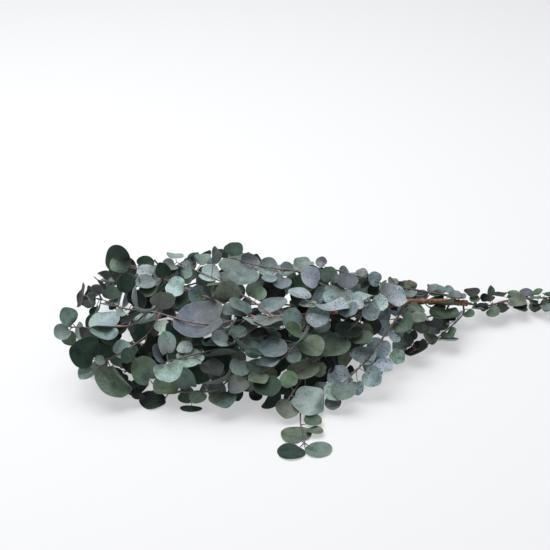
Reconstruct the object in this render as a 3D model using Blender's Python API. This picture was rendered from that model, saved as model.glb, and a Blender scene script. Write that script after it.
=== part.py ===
"""A cut and dried eucalyptus branch that lies on a surface: its forked woody stem, and on it the leafy stems,
each grown in one with its round, opposite leaves. +X is the cut end's side, +Z is up, and the surface is at Z 0."""

import math
import random

import bmesh
import bpy
from mathutils import Matrix, Vector
from mathutils.bvhtree import BVHTree

MM = 0.001

# The layout is drawn as the branch looks from the front: across and up in the view, and height above the surface
VIEW_RISE = math.radians(28)
EYE_DISTANCE = 1.9
AIM = Vector((-0.067, 0.0215, 0.112))
RIGHT = Vector((1, 0, 0))
UP = Vector((0, math.sin(VIEW_RISE), math.cos(VIEW_RISE)))
TOWARD = Vector((0, -math.cos(VIEW_RISE), math.sin(VIEW_RISE)))
EYE = AIM + TOWARD * EYE_DISTANCE

# Stems
TUBE_STEPS = 2
SEAT_GAP = 0.3 * MM
TIP_SHARE = 0.55
END_ROOM = 2 * MM

# Leaves, in mm where no unit is named
BLADE_THICKNESS = 0.7 * MM
CLEARANCE = 0.35 * MM
LEAF_WIDTH = 0.94
LARGE_LEAF = 32
STALK = 2.0
LONGEST_STALK = 15
SUNK_SHARE = 0.2
LIFT_OFF = 0.3 * MM
PAIR_ROOM = 5 * MM
SEED = 41

# The thick stem and its two bare forks, each as its radii in mm and its route as across, up and height in mm
WOODY_TUBES = (
    ((2.9, 2.6), ((211, -31, 22), (196, -30, 27), (180, -29, 34), (162, -29, 42), (146, -29, 48))),
    ((1.7, 1.3), ((150, -29, 46), (136, -27, 52), (120, -25, 60), (103, -23, 66), (87, -22, 70))),
    ((1.9, 1.5), ((150, -29, 46), (127, -34, 52), (100, -38, 58), (72, -41, 62), (40, -43, 65), (10, -45, 68))),
)

# Each leafy stem: what carries it, its radius at the start in mm, and its route as across, up and height in mm
ROUTES = {
    "pink_stem": ("woody_stem", 1.3, (8, -45, 68), (-29, -48, 72), (-80, -54, 74), (-132, -41, 76),
                  (-165, -37, 77), (-190, -27, 80)),
    "top_spray": ("pink_stem", 1.0, (0, -46, 70), (-20, -32, 76), (-44, -17, 84), (-64, -5, 90), (-85, 4, 93),
                  (-108, 14, 95)),
    "top_left_stem": ("pink_stem", 1.1, (-18, -47, 72), (-52, -33, 76), (-76, -24, 80), (-100, -14, 84),
                      (-128, -2, 88), (-158, 10, 90), (-166, 12, 91)),
    "top_centre_stem": ("woody_stem", 1.1, (85, -22, 70), (51, -10, 80), (28, 3, 88), (0, 7, 92), (-26, 12, 95),
                        (-44, 18, 97)),
    "back_right_stem": ("woody_stem", 1.2, (205, -30, 22), (190, -23, 30), (168, -19, 38), (134, -13, 50),
                        (107, -7, 60), (80, 2, 70), (56, 8, 78)),
    "pale_stem": ("woody_stem", 1.1, (125, -28, 58), (104, -30, 66), (82, -31, 71), (60, -33, 76), (36, -31, 82)),
    "low_centre_stem": ("pink_stem", 1.1, (-10, -47, 70), (-24, -60, 64), (-44, -74, 58), (-66, -82, 55),
                        (-90, -88, 52), (-122, -96, 46)),
    "middle_stem": ("woody_stem", 0.9, (43, -44, 66), (31, -66, 58), (14, -86, 50), (-6, -102, 42),
                    (-32, -113, 34)),
    "olive_stem": ("woody_stem", 1.1, (104, -38, 60), (90, -52, 54), (66, -76, 45), (38, -102, 34),
                   (22, -126, 22), (12, -140, 14)),
    "blue_stem": ("woody_stem", 1.2, (146, -30, 46), (134, -48, 42), (116, -72, 38), (98, -96, 31),
                  (78, -116, 23), (62, -130, 16)),
    "thin_stem": ("woody_stem", 1.0, (207, -31, 22), (206, -44, 15), (186, -63, 12), (170, -75, 13),
                  (148, -86, 14)),
    "under_stem": ("woody_stem", 1.0, (196, -30, 26), (186, -40, 22), (168, -46, 24), (150, -49, 28)),
    "front_sprig": ("olive_stem", 0.9, (34, -108, 31), (33, -130, 14), (28, -153, 4.5), (29, -169, 3.2),
                    (32, -180, 2.6), (33, -191, 2.4)),
    "left_low_stem": ("low_centre_stem", 1.1, (-34, -68, 60), (-40, -96, 40), (-58, -122, 24), (-84, -129, 16),
                      (-112, -128, 12), (-132, -126, 11)),
    "left_down_stem": ("pink_stem", 1.0, (-126, -42, 76), (-139, -64, 64), (-160, -80, 54), (-180, -91, 44),
                       (-195, -99, 36)),
    "left_tip_stem": ("pink_stem", 1.0, (-140, -40, 76), (-156, -54, 74), (-178, -57, 72), (-207, -58, 70),
                      (-227, -57, 68)),
    "tail_stem": ("woody_stem", 1.2, (211, -31, 20), (232, -34, 13), (262, -27, 14), (300, -25, 15),
                  (330, -27, 14), (346, -28, 12)),
    "back_left_stem": ("top_left_stem", 1.0, (-36, -40, 74), (-60, -30, 58), (-100, -22, 50), (-140, -14, 44),
                       (-178, -10, 40)),
    "back_middle_stem": ("woody_stem", 1.0, (60, -41, 62), (40, -36, 44), (0, -32, 32), (-44, -34, 20),
                         (-90, -42, 11), (-132, -46, 7)),
    "back_top_stem": ("top_centre_stem", 0.9, (40, -4, 84), (16, -4, 68), (-22, 0, 66), (-66, 2, 66),
                      (-104, 2, 64), (-140, 0, 62)),
    "inner_low_stem": ("woody_stem", 1.0, (24, -42, 66), (4, -56, 42), (-44, -70, 30), (-96, -78, 24),
                       (-146, -76, 22), (-186, -70, 20)),
    "inner_left_stem": ("inner_low_stem", 0.9, (-70, -74, 27), (-104, -98, 18), (-146, -106, 14), (-186, -104, 12)),
    "under_front_stem": ("woody_stem", 0.9, (96, -39, 58), (84, -56, 34), (54, -82, 22), (20, -112, 12),
                         (-14, -124, 9)),
    "back_right_low_stem": ("woody_stem", 1.0, (160, -29, 42), (142, -27, 30), (106, -30, 18), (66, -39, 9),
                            (28, -42, 7)),
}

# Leaves that lie flat on the surface, and that the branch rests on, for each stem: across, up and size in mm
RESTING = {
    "front_sprig": ((23, -176, 34), (20, -193, 34), (47, -192, 30)),
    "left_low_stem": ((-133, -138, 37), (-92, -146, 24)),
    "tail_stem": ((320, -38, 20),),
    "back_middle_stem": ((-118, -56, 32), (-66, -50, 30)),
    "back_right_low_stem": ((48, -51, 28),),
}

# The leaves that show most, for each stem: across, up and size in mm, open share, and lean in degrees
SEEN = {
    "pink_stem": ((-79, -53, 62, 0.60, 90), (19, -50, 29, 0.73, 0), (0, -37, 34, 0.58, 90), (-124, -29, 27, 0.72, 90),
                  (-142, -50, 31, 0.68, 90), (-170, -41, 15, 0.64, 0), (-180, -33, 23, 0.62, 90),
                  (-179, -20, 23, 0.76, 90), (-203, -25, 14, 0.60, 0), (-195, -26, 15, 0.60, 180),
                  (-213, -21, 30, 0.24, 180), (-165, -10, 25, 0.78, 0)),
    "top_spray": ((-110, 20, 21, 0.28, 90), (-81, 16, 24, 0.55, 90), (-73, 1, 25, 0.78, 90), (-99, 1, 21, 0.84, 0),
                  (-67, 21, 21, 0.47, 0), (-44, -17, 20, 0.67, 90), (-17, -21, 17, 0.93, 90)),
    "top_left_stem": ((-172, 18, 33, 0.95, 100), (-185, 1, 9, 0.90, 90), (-152, 10, 22, 0.65, 90),
                      (-139, 2, 21, 0.85, 90), (-140, -4, 32, 0.76, 90), (-109, -13, 24, 0.82, 90),
                      (-86, -22, 24, 0.77, 0)),
    "top_centre_stem": ((12, 7, 21, 0.90, 90), (-8, 8, 25, 0.91, 80), (-34, 14, 26, 0.92, 90), (-45, 25, 22, 0.80, 90),
                        (-34, -2, 36, 0.52, 90), (-9, -10, 19, 0.50, 90), (40, -3, 25, 0.83, 20)),
    "back_right_stem": ((51, 13, 14, 0.85, 60), (59, 1, 17, 0.87, 90), (74, 4, 15, 0.60, 45), (110, -5, 18, 0.90, 30),
                        (131, -8, 11, 0.90, 90), (149, -9, 10, 0.70, 90), (178, -18, 24, 0.55, 90),
                        (199, -24, 24, 0.41, 90), (216, -19, 20, 0.55, 90)),
    "pale_stem": ((38, -32, 25, 0.74, 90), (63, -35, 38, 0.43, 90), (86, -34, 26, 0.33, 90), (91, -42, 23, 0.25, 90),
                  (96, -25, 23, 0.62, 90), (106, -40, 21, 0.85, 150), (120, -26, 33, 0.28, 90),
                  (124, -40, 19, 0.41, 0)),
    "low_centre_stem": ((-18, -65, 24, 0.80, 90), (-41, -64, 23, 0.90, 90), (-59, -71, 22, 0.90, 0),
                        (-71, -75, 24, 0.64, 90), (-62, -83, 44, 0.57, 90), (-96, -94, 32, 0.80, 90),
                        (-116, -102, 32, 0.59, 90), (-121, -75, 27, 0.72, 0), (-40, -101, 22, 0.85, 90),
                        (-7, -66, 24, 0.82, 90)),
    "middle_stem": ((43, -52, 33, 0.70, 90), (0, -82, 33, 0.57, 90), (-8, -98, 27, 0.88, 90), (-18, -114, 22, 0.55, 90),
                    (-22, -101, 23, 0.71, 90), (-40, -121, 25, 0.74, 90), (-9, -123, 31, 0.71, 90)),
    "olive_stem": ((65, -79, 38, 0.60, 90), (73, -90, 29, 0.62, 0), (49, -103, 18, 0.95, 90), (31, -104, 37, 0.70, 90),
                   (15, -116, 23, 0.90, 45), (14, -146, 27, 0.76, 90), (38, -139, 38, 0.77, 90),
                   (82, -62, 30, 0.63, 90)),
    "blue_stem": ((121, -59, 20, 0.95, 90), (114, -80, 29, 0.96, 90), (135, -80, 29, 0.69, 0), (96, -91, 31, 0.57, 90),
                  (119, -101, 23, 0.62, 90), (107, -112, 25, 0.80, 150), (72, -115, 30, 0.93, 90),
                  (91, -124, 20, 0.95, 90), (71, -135, 27, 0.56, 90), (59, -134, 29, 0.60, 90)),
    "thin_stem": ((158, -84, 32, 0.48, 90), (169, -70, 20, 0.50, 45), (190, -71, 26, 0.35, 90),
                  (146, -97, 19, 0.94, 90)),
    "under_stem": ((186, -44, 36, 0.39, 90), (175, -54, 25, 0.35, 90), (155, -42, 22, 0.90, 90)),
    "front_sprig": ((42, -161, 24, 0.64, 90), (43, -172, 22, 0.50, 90)),
    "left_low_stem": ((-58, -136, 31, 0.61, 90), (-84, -134, 20, 0.72, 90), (-117, -124, 32, 0.93, 90),
                      (-144, -106, 33, 0.87, 0)),
    "left_down_stem": ((-168, -82, 21, 0.95, 90), (-187, -85, 27, 0.88, 90), (-193, -94, 16, 0.60, 90),
                       (-211, -83, 38, 0.83, 0), (-207, -108, 20, 0.67, 90), (-176, -115, 44, 0.83, 60),
                       (-141, -75, 29, 0.65, 0)),
    "left_tip_stem": ((-188, -51, 37, 0.50, 90), (-189, -65, 34, 0.50, 90), (-227, -47, 23, 0.76, 30),
                      (-233, -63, 20, 0.89, 90)),
    "tail_stem": ((237, -18, 14, 0.70, 0), (248, -22, 19, 0.35, 90), (277, -21, 19, 0.50, 90),
                  (249, -35, 18, 0.75, 90), (266, -31, 25, 0.35, 90), (270, -38, 19, 0.50, 90),
                  (285, -35, 14, 0.90, 90), (300, -33, 17, 0.90, 90)),
}

# The pairs that fill the stems: how far apart in mm, and the leaves' size near the start and near the tip
FILLING = {
    "pink_stem": (24, 36, 24), "top_spray": (21, 30, 22), "top_left_stem": (23, 32, 24), "top_centre_stem": (21, 30, 24),
    "back_right_stem": (24, 26, 22), "pale_stem": (20, 30, 24), "low_centre_stem": (22, 32, 26),
    "middle_stem": (21, 30, 24), "olive_stem": (22, 34, 26), "blue_stem": (23, 30, 26), "thin_stem": (26, 22, 24),
    "under_stem": (18, 24, 22), "left_low_stem": (24, 34, 30), "left_down_stem": (22, 34, 28),
    "left_tip_stem": (22, 34, 22), "tail_stem": (20, 20, 13), "back_left_stem": (25, 38, 32),
    "back_middle_stem": (28, 38, 32), "back_top_stem": (28, 36, 30), "inner_low_stem": (28, 38, 32),
    "inner_left_stem": (25, 36, 30), "under_front_stem": (25, 34, 28), "back_right_low_stem": (24, 34, 28),
}

# What grows last: one more stem at the left, and leaves that show where the others left room, listed as above
LATE_ROUTES = {
    "left_fork_stem": ("pink_stem", 0.8, (-182, -30, 79.5), (-196, -26, 80), (-208, -23, 80)),
}
LATE = {
    "left_fork_stem": ((-212, -22, 30, 0.30, 170), (-202, -24, 26, 0.60, 180), (-205, -32, 16, 0.60, 90),
                       (-196, -16, 18, 0.70, 60)),
    "top_left_stem": ((-171, 12, 26, 0.85, 80), (-160, -8, 26, 0.70, 90)),
    "middle_stem": ((19, -50, 29, 0.73, 40), (-7, -66, 24, 0.82, 90)),
    "inner_low_stem": ((-40, -101, 22, 0.85, 90), (-20, -63, 24, 0.80, 90)),
    "blue_stem": ((146, -97, 19, 0.94, 90),),
    "back_right_stem": ((148, -21, 16, 0.60, 90), (163, -21, 14, 0.60, 90), (193, -20, 18, 0.60, 60)),
    "under_stem": ((154, -37, 17, 0.50, 90), (155, -48, 20, 0.60, 90), (193, -47, 18, 0.65, 90)),
    "tail_stem": ((233, -27, 19, 0.40, 90), (218, -28, 14, 0.70, 90), (249, -38, 22, 0.40, 90),
                  (240, -34, 16, 0.50, 90), (258, -26, 14, 0.50, 60), (283, -28, 11, 0.60, 90),
                  (289, -36, 14, 0.70, 90), (300, -38, 18, 0.50, 90), (300, -26, 18, 0.60, 90),
                  (312, -34, 15, 0.60, 90), (330, -30, 16, 0.60, 90)),
}

# The branch's outline in the front view, as across and up in mm, which the filling leaves keep inside
TOP_EDGE = ((-243, -62), (-236, -36), (-218, -12), (-188, 10), (-176, 30), (-150, 14), (-120, 17), (-100, 24),
            (-40, 34), (-8, 20), (40, 15), (60, 16), (90, 4), (140, -5), (190, -14), (230, -12), (302, -22), (350, -24))
LOW_EDGE = ((-243, -62), (-232, -76), (-214, -114), (-181, -132), (-140, -150), (-90, -143), (-42, -143),
            (0, -152), (58, -156), (76, -143), (120, -122), (172, -94), (205, -70), (226, -40), (302, -42), (350, -40))

# Finishes: base colour and roughness
BARK = ((0.36, 0.17, 0.08), 0.6)
FRONT_LEAVES = ((0.16, 0.25, 0.20), 0.55)
OLIVE_LEAVES = ((0.11, 0.16, 0.08), 0.55)
BLUE_LEAVES = ((0.19, 0.25, 0.26), 0.6)
OLIVE_STEMS = ("middle_stem", "olive_stem", "front_sprig", "left_low_stem", "under_front_stem", "inner_left_stem")
BLUE_STEMS = ("blue_stem", "pale_stem", "thin_stem", "under_stem", "tail_stem", "back_right_stem")


def in_view(across, up, height):
    """The point at this height that shows at this place of the front view, all three in mm."""
    ray = AIM + (RIGHT * across + UP * up) * MM - EYE
    return EYE + ray * ((height * MM - EYE.z) / ray.z)


def seen_at(point):
    """Where a point shows in the front view, as across and up in mm."""
    ray = point - EYE
    scale = EYE_DISTANCE / -ray.dot(TOWARD)
    spot = EYE + ray * scale - AIM
    return spot.dot(RIGHT) / MM, spot.dot(UP) / MM


def edge_at(edge, across):
    """How high an edge of the outline is at this place across."""
    for (left, start), (right, end) in zip(edge, edge[1:]):
        if left <= across <= right:
            return start + (end - start) * (across - left) / (right - left)
    return None


def smooth_route(points):
    """Points along one smooth curve through the route's own points."""
    ends = [2 * points[0] - points[1], *points, 2 * points[-1] - points[-2]]
    found = []
    for a, b, c, d in zip(ends, ends[1:], ends[2:], ends[3:]):
        for step in range(TUBE_STEPS):
            t = step / TUBE_STEPS
            bend = (2 * a - 5 * b + 4 * c - d) * t * t + (3 * b - a - 3 * c + d) * t**3
            found.append(0.5 * (2 * b + (c - a) * t + bend))
    found.append(points[-1].copy())
    return found


def corners_of(bm):
    """A mesh's lowest and highest corner."""
    places = [vert.co for vert in bm.verts]
    return [Vector([pick(place[k] for place in places) for k in range(3)]) for pick in (min, max)]


def clear_of(tree, points, room):
    """Whether all the points lie outside a closed solid, with this room to it."""
    for point in points:
        spot, normal, _, gap = tree.find_nearest(point)
        if gap < room or (point - spot).dot(normal) < 0:
            return False
    return True


class Stem:
    """A stem's centre line, its radius in mm at both ends, its tube, and the leaves that grow on it."""

    def __init__(self, name, line, radius, tip, sides=4):
        self.name = name
        self.line = line
        self.radius = radius
        self.tip = tip
        self.steps = [0.0]
        for a, b in zip(line, line[1:]):
            self.steps.append(self.steps[-1] + (b - a).length)
        self.length = self.steps[-1]
        self.tube = self.swept(sides)
        bm = bmesh.new()
        bm.from_mesh(self.tube)
        self.tree = BVHTree.FromBMesh(bm)
        bm.free()
        self.leaves = []

    def at(self, reach):
        """The centre line's point and direction at this distance from its start."""
        for k, (a, b) in enumerate(zip(self.line, self.line[1:])):
            if reach <= self.steps[k + 1] or k == len(self.line) - 2:
                way = (b - a).normalized()
                return a + way * (reach - self.steps[k]), way

    def radius_at(self, reach):
        return (self.radius + (self.tip - self.radius) * reach / self.length) * MM

    def nearest(self, point):
        """The centre line's point nearest to this one."""
        best = None
        for a, b in zip(self.line, self.line[1:]):
            way = b - a
            share = min(max((point - a).dot(way) / way.length_squared, 0.0), 1.0)
            spot = a + way * share
            if best is None or (spot - point).length < (best - point).length:
                best = spot
        return best

    def swept(self, sides):
        """The stem's own solid, swept along its centre line, with closed ends."""
        curve = bpy.data.curves.new(self.name, "CURVE")
        curve.dimensions = "3D"
        curve.bevel_depth = 1.0
        curve.bevel_resolution = (sides - 4) // 2
        curve.use_fill_caps = True
        spline = curve.splines.new("POLY")
        spline.points.add(len(self.line) - 1)
        for point, place, reach in zip(spline.points, self.line, self.steps):
            point.co = (*place, 1.0)
            point.radius = self.radius_at(reach)
        holder = bpy.data.objects.new(self.name, curve)
        bpy.context.scene.collection.objects.link(holder)
        drawn = holder.evaluated_get(bpy.context.evaluated_depsgraph_get())
        mesh = bpy.data.meshes.new_from_object(drawn)
        bpy.data.objects.remove(holder)
        bpy.data.curves.remove(curve)
        bm = bmesh.new()
        bm.from_mesh(mesh)
        bmesh.ops.remove_doubles(bm, verts=bm.verts, dist=0.01 * MM)
        bmesh.ops.recalc_face_normals(bm, faces=bm.faces)
        bm.to_mesh(mesh)
        bm.free()
        return mesh

    def branch_off(self, radius, points):
        """The route of a stem that grows here: its first point moves out until the stem's end clears this one."""
        first = self.nearest(points[0])
        way = (points[1] - first).normalized()
        side = way.orthogonal().normalized()
        other = way.cross(side)
        angles = [math.radians(45 * k) for k in range(8)]
        ring = [(side * math.cos(a) + other * math.sin(a)) * radius * MM for a in angles]
        step = 0.0
        while not clear_of(self.tree, [first + way * step + spoke for spoke in [Vector(), *ring]], SEAT_GAP):
            step += 0.05 * MM
        return [first + way * step, *points[1:]]


class Leaf:
    """A leaf: its root in the stem, the way it grows, the way its upper face looks, and its size and stalk in mm."""

    def __init__(self, root, along, face, size, stalk, form, flat=False):
        self.root = root
        self.along = along.normalized()
        self.face = (face - self.along * face.dot(self.along)).normalized()
        self.size = size
        self.stalk = stalk
        self.form = form
        self.flat = flat

    def turned(self, degrees, share):
        """The same leaf, rolled about its length and made smaller."""
        face = Matrix.Rotation(math.radians(degrees), 3, self.along) @ self.face
        return Leaf(self.root, self.along, face, self.size * share, self.stalk, self.form, self.flat)

    def blade_point(self, x, y):
        """The upper face at this place of a disc of radius 1, whose tip is at x 1 and whose root side is at x -1."""
        cup, fold, bend = self.form
        half = self.size / 2
        lift = cup * (x * x + y * y) + fold * abs(y) - bend * (x + 1) ** 2
        across = self.face.cross(self.along) * (half * LEAF_WIDTH * y)
        spot = self.root + (self.along * (self.stalk + half * (1 + x)) + across + self.face * (half * lift)) * MM
        if self.flat:
            spot.z = BLADE_THICKNESS
        return spot

    def solid(self, room=0.0):
        """The blade, in triangles alike on both faces, drawn out to its root. Room makes it larger all round."""
        bm = bmesh.new()
        sides = 8 if self.size >= LARGE_LEAF else 6
        bmesh.ops.create_circle(bm, cap_ends=True, cap_tris=True, segments=sides, radius=1)
        grown = 1 + room / (self.size * MM / 2)
        for vert in bm.verts:
            at_root = vert.co.y < -0.99
            vert.co = self.root if at_root else self.blade_point(vert.co.y * grown, vert.co.x * grown)
        down = Vector((0, 0, -1)) if self.flat else -self.face
        bmesh.ops.translate(bm, vec=down * -room, verts=bm.verts)
        lower = bmesh.ops.extrude_face_region(bm, geom=bm.faces[:])
        for vert in lower["geom"]:
            if isinstance(vert, bmesh.types.BMVert):
                at_root = (vert.co - self.root).length < 2 * room + 0.01 * MM
                vert.co += (-self.face if at_root else down) * (BLADE_THICKNESS + 2 * room)
        bmesh.ops.triangulate(bm, faces=bm.faces)
        bmesh.ops.recalc_face_normals(bm, faces=bm.faces)
        return bm


class Grown:
    """A leaf in its place, with what the test for the next ones needs."""

    def __init__(self, leaf, stem, seen):
        self.leaf = leaf
        self.stem = stem
        self.seen = seen
        bm = leaf.solid()
        self.low, self.high = corners_of(bm)
        self.tree = BVHTree.FromBMesh(bm)
        bm.free()


class Branch:
    """The stems and the leaves grown on them so far."""

    def __init__(self):
        self.stems = {}
        self.grown = []
        self.draw = random.Random(SEED)

    def add_stems(self):
        woody = [Stem(f"woody {number}", smooth_route([in_view(*place) for place in route]), *radii, sides=8)
                 for number, (radii, route) in enumerate(WOODY_TUBES)]
        for stem in woody:
            self.stems[stem.name] = stem
        for name, (carrier, radius, *route) in ROUTES.items():
            self.add_stem(name, carrier, radius, [in_view(*place) for place in route])
        return woody

    def add_stem(self, name, carrier, radius, points):
        if carrier == "woody_stem":
            woody = [stem for stem in self.stems.values() if stem.name.startswith("woody")]
            parent = min(woody, key=lambda stem: (stem.nearest(points[0]) - points[0]).length)
        else:
            parent = self.stems[carrier]
        line = smooth_route(parent.branch_off(radius, points))
        self.stems[name] = Stem(name, line, radius, radius * TIP_SHARE)

    def clear(self, leaf, stem, filling):
        """Whether a leaf clears the surface, the outline, and the leaves and stems that are there."""
        bm = leaf.solid(CLEARANCE)
        low, high = corners_of(bm)
        places = [vert.co.copy() for vert in bm.verts]
        tree = BVHTree.FromBMesh(bm)
        bm.free()
        if not leaf.flat and low.z < LIFT_OFF:
            return False
        if filling and not all(self.inside_outline(place) for place in places):
            return False
        if any(other is not stem and tree.overlap(other.tree) for other in self.stems.values()):
            return False
        if self.pierced(tree, leaf, stem):
            return False
        for other in self.grown:
            if any(low[k] > other.high[k] or high[k] < other.low[k] for k in range(3)):
                continue
            pair = other.stem is stem and (other.leaf.root - leaf.root).length < PAIR_ROOM
            if (self.tight_tree(leaf) if pair else tree).overlap(other.tree):
                return False
        return not (filling and self.hides(places))

    def tight_tree(self, leaf):
        bm = leaf.solid()
        tree = BVHTree.FromBMesh(bm)
        bm.free()
        return tree

    def pierced(self, tree, leaf, stem):
        """Whether the leaf's own stem runs through its blade."""
        for a, b in zip(stem.line, stem.line[1:]):
            spot = tree.ray_cast(a, (b - a).normalized(), (b - a).length)[0]
            if spot and (spot - leaf.root).length > 3 * MM:
                return True
        return False

    def inside_outline(self, place):
        across, up = seen_at(place)
        top = edge_at(TOP_EDGE, across)
        return top is not None and edge_at(LOW_EDGE, across) <= up <= top

    def hides(self, places):
        """Whether a filling leaf would stand before one of the leaves that show."""
        count = 0
        for place in places:
            way = (place - EYE).normalized()
            if any(other.tree.ray_cast(place, way)[0] for other in self.grown if other.seen):
                count += 1
        return count > len(places) // 5

    def grow_seen(self, stem, across, up, size, open_share=1.0, lean=90, flat=False):
        """Grow the leaf whose blade shows here in the front view. Its open share is 1 where it faces the viewer and
        0 where it is edge on, and its lean is the way that its upper face tips, in degrees from the right."""
        angle = math.radians(lean)
        tipped = (RIGHT * math.cos(angle) + UP * math.sin(angle)) * math.sqrt(1 - open_share**2)
        face = Vector((0, 0, 1)) if flat else TOWARD * open_share + tipped
        form = (self.draw.uniform(0.05, 0.16), self.draw.uniform(0.0, 0.10), self.draw.uniform(-0.02, 0.05))
        for right, higher in ((0, 0), (3, 0), (-3, 0), (0, 3), (0, -3)):
            ray = (AIM + (RIGHT * (across + right) + UP * (up + higher)) * MM - EYE).normalized()
            for spot, radius, centre, spare in self.roots_for(stem, ray, face, size, flat):
                along = (centre - spot).normalized()
                stalk = min(STALK + spare / MM, LONGEST_STALK) + radius * (1 - SUNK_SHARE) / MM
                whole = Leaf(spot + along * radius * SUNK_SHARE, along, face, size, stalk, form, flat)
                for share in (1.0, 0.94, 0.88):
                    for roll in (0,) if flat else (0, 8, -8, 16, -16, 25, -25, 34, -34):
                        leaf = whole.turned(roll, share)
                        if self.clear(leaf, stem, False):
                            self.keep(leaf, stem, True)
                            return True
        return False

    def roots_for(self, stem, ray, face, size, flat):
        """The places on a stem from which a leaf that looks this way reaches the line of sight, the best first."""
        choices = []
        for k in range(60):
            reach = END_ROOM + (stem.length - 2 * END_ROOM) * k / 59
            spot, _ = stem.at(reach)
            if flat:
                centre = EYE + ray * ((BLADE_THICKNESS - EYE.z) / ray.z)
            elif abs(ray.dot(face)) > 0.12:
                centre = EYE + ray * ((spot - EYE).dot(face) / ray.dot(face))
            else:
                continue
            radius = stem.radius_at(reach)
            spare = (centre - spot).length - radius - (STALK + size / 2) * MM
            choices.append((spare if spare > 0 else -0.6 * spare, spot, radius, centre, max(spare, 0.0)))
        choices.sort(key=lambda choice: choice[0])
        return [choice[1:] for choice in choices[:14]]

    def fill(self, stem, spacing, first_size, last_size):
        """Grow opposite pairs along a stem, each pair turned a quarter from the last, where they have room."""
        draw = self.draw
        pairs = max(2, round(stem.length / (spacing * MM)))
        twist = draw.uniform(0, math.pi)
        for pair in range(pairs + 1):
            share = 0.06 + 0.94 * pair / pairs
            reach = min(stem.length * share, stem.length - END_ROOM)
            spot, way = stem.at(reach)
            radius = stem.radius_at(reach)
            side = way.cross(Vector((0, 0, 1))).normalized()
            other = side.cross(way)
            for half in range(2):
                for attempt in range(16):
                    turn = twist + pair * math.pi / 2 + half * math.pi + draw.gauss(0, 0.30)
                    out = side * math.cos(turn) + other * math.sin(turn)
                    along = (out + way * draw.uniform(0.1, 1.0)).normalized()
                    face = way * draw.uniform(-0.2, 0.6) + Vector((0, 0, 1)) * draw.uniform(0.3, 1.0)
                    face += TOWARD * draw.uniform(0.0, 0.7) + side * draw.uniform(-0.4, 0.4)
                    size = first_size + (last_size - first_size) * share
                    size *= draw.uniform(0.85, 1.1) * (1.0 if attempt < 6 else 0.85 if attempt < 11 else 0.7)
                    form = (draw.uniform(0.04, 0.18), draw.uniform(0.0, 0.12), draw.uniform(-0.04, 0.06))
                    stalk = draw.uniform(1.5, 3.5) + radius * (1 - SUNK_SHARE) / MM
                    leaf = Leaf(spot + along * radius * SUNK_SHARE, along, face, size, stalk, form)
                    if self.clear(leaf, stem, True):
                        self.keep(leaf, stem, False)
                        break

    def keep(self, leaf, stem, seen):
        self.grown.append(Grown(leaf, stem, seen))
        stem.leaves.append(leaf)

    def grow(self):
        """Grow the resting leaves, then those that show, the largest first, and then the ones that fill the stems."""
        missed = []
        for name, leaves in RESTING.items():
            for across, up, size in leaves:
                if not self.grow_seen(self.stems[name], across, up, size, flat=True):
                    missed.append((name, across, up))
        listed = [(name, leaf) for name, leaves in SEEN.items() for leaf in leaves]
        for name, leaf in sorted(listed, key=lambda item: -item[1][2]):
            if not self.grow_seen(self.stems[name], *leaf):
                missed.append((name, leaf[0], leaf[1]))
        for name, (spacing, first_size, last_size) in FILLING.items():
            self.fill(self.stems[name], spacing, first_size, last_size)
        for name, (carrier, radius, *route) in LATE_ROUTES.items():
            self.add_stem(name, carrier, radius, [in_view(*place) for place in route])
        for name, leaves in LATE.items():
            for leaf in leaves:
                if not self.grow_seen(self.stems[name], *leaf):
                    missed.append((name, leaf[0], leaf[1]))
        return missed


def leaf_mesh(leaf):
    bm = leaf.solid()
    mesh = bpy.data.meshes.new("leaf")
    bm.to_mesh(mesh)
    bm.free()
    return mesh


def join(name, first, others, collection):
    """One closed solid of a first mesh and all the others."""
    body = bpy.data.objects.new(name, first)
    collection.objects.link(body)
    grown = bpy.data.collections.new(name + " pieces")
    bpy.context.scene.collection.children.link(grown)
    for mesh in others:
        grown.objects.link(bpy.data.objects.new(name + " piece", mesh))
    union = body.modifiers.new("Union", "BOOLEAN")
    union.operation = "UNION"
    union.operand_type = "COLLECTION"
    union.collection = grown
    union.solver = "EXACT"
    drawn = body.evaluated_get(bpy.context.evaluated_depsgraph_get())
    mesh = bpy.data.meshes.new_from_object(drawn)
    body.modifiers.clear()
    body.data = mesh
    for piece in list(grown.objects):
        bpy.data.objects.remove(piece)
    bpy.data.collections.remove(grown)
    return body


def finish(body, colour, roughness):
    material = bpy.data.materials.new(body.name)
    material.use_nodes = True
    shader = material.node_tree.nodes["Principled BSDF"]
    shader.inputs["Base Color"].default_value = (*colour, 1.0)
    shader.inputs["Roughness"].default_value = roughness
    body.data.materials.clear()
    body.data.materials.append(material)


def leaf_finish(name):
    if name in OLIVE_STEMS:
        return OLIVE_LEAVES
    return BLUE_LEAVES if name in BLUE_STEMS else FRONT_LEAVES


for thing in list(bpy.data.objects):
    bpy.data.objects.remove(thing)
parts = bpy.data.collections.new("Eucalyptus branch")
bpy.context.scene.collection.children.link(parts)

branch = Branch()
woody = branch.add_stems()
missed = branch.grow()

finish(join("woody_stem", woody[0].tube, [stem.tube for stem in woody[1:]], parts), *BARK)
for name in (*ROUTES, *LATE_ROUTES):
    stem = branch.stems[name]
    finish(join(name, stem.tube, [leaf_mesh(leaf) for leaf in stem.leaves], parts), *leaf_finish(name))
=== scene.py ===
"""A cut and dried eucalyptus branch on a white surface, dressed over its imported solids: every leafy stem is
grown again by the same rule, and gets fine leaves with their stalks, creases, waves and waxy bloom."""

import math
import random

import bmesh
import bpy
from mathutils import Matrix, Vector, noise
from mathutils.bvhtree import BVHTree


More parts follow.
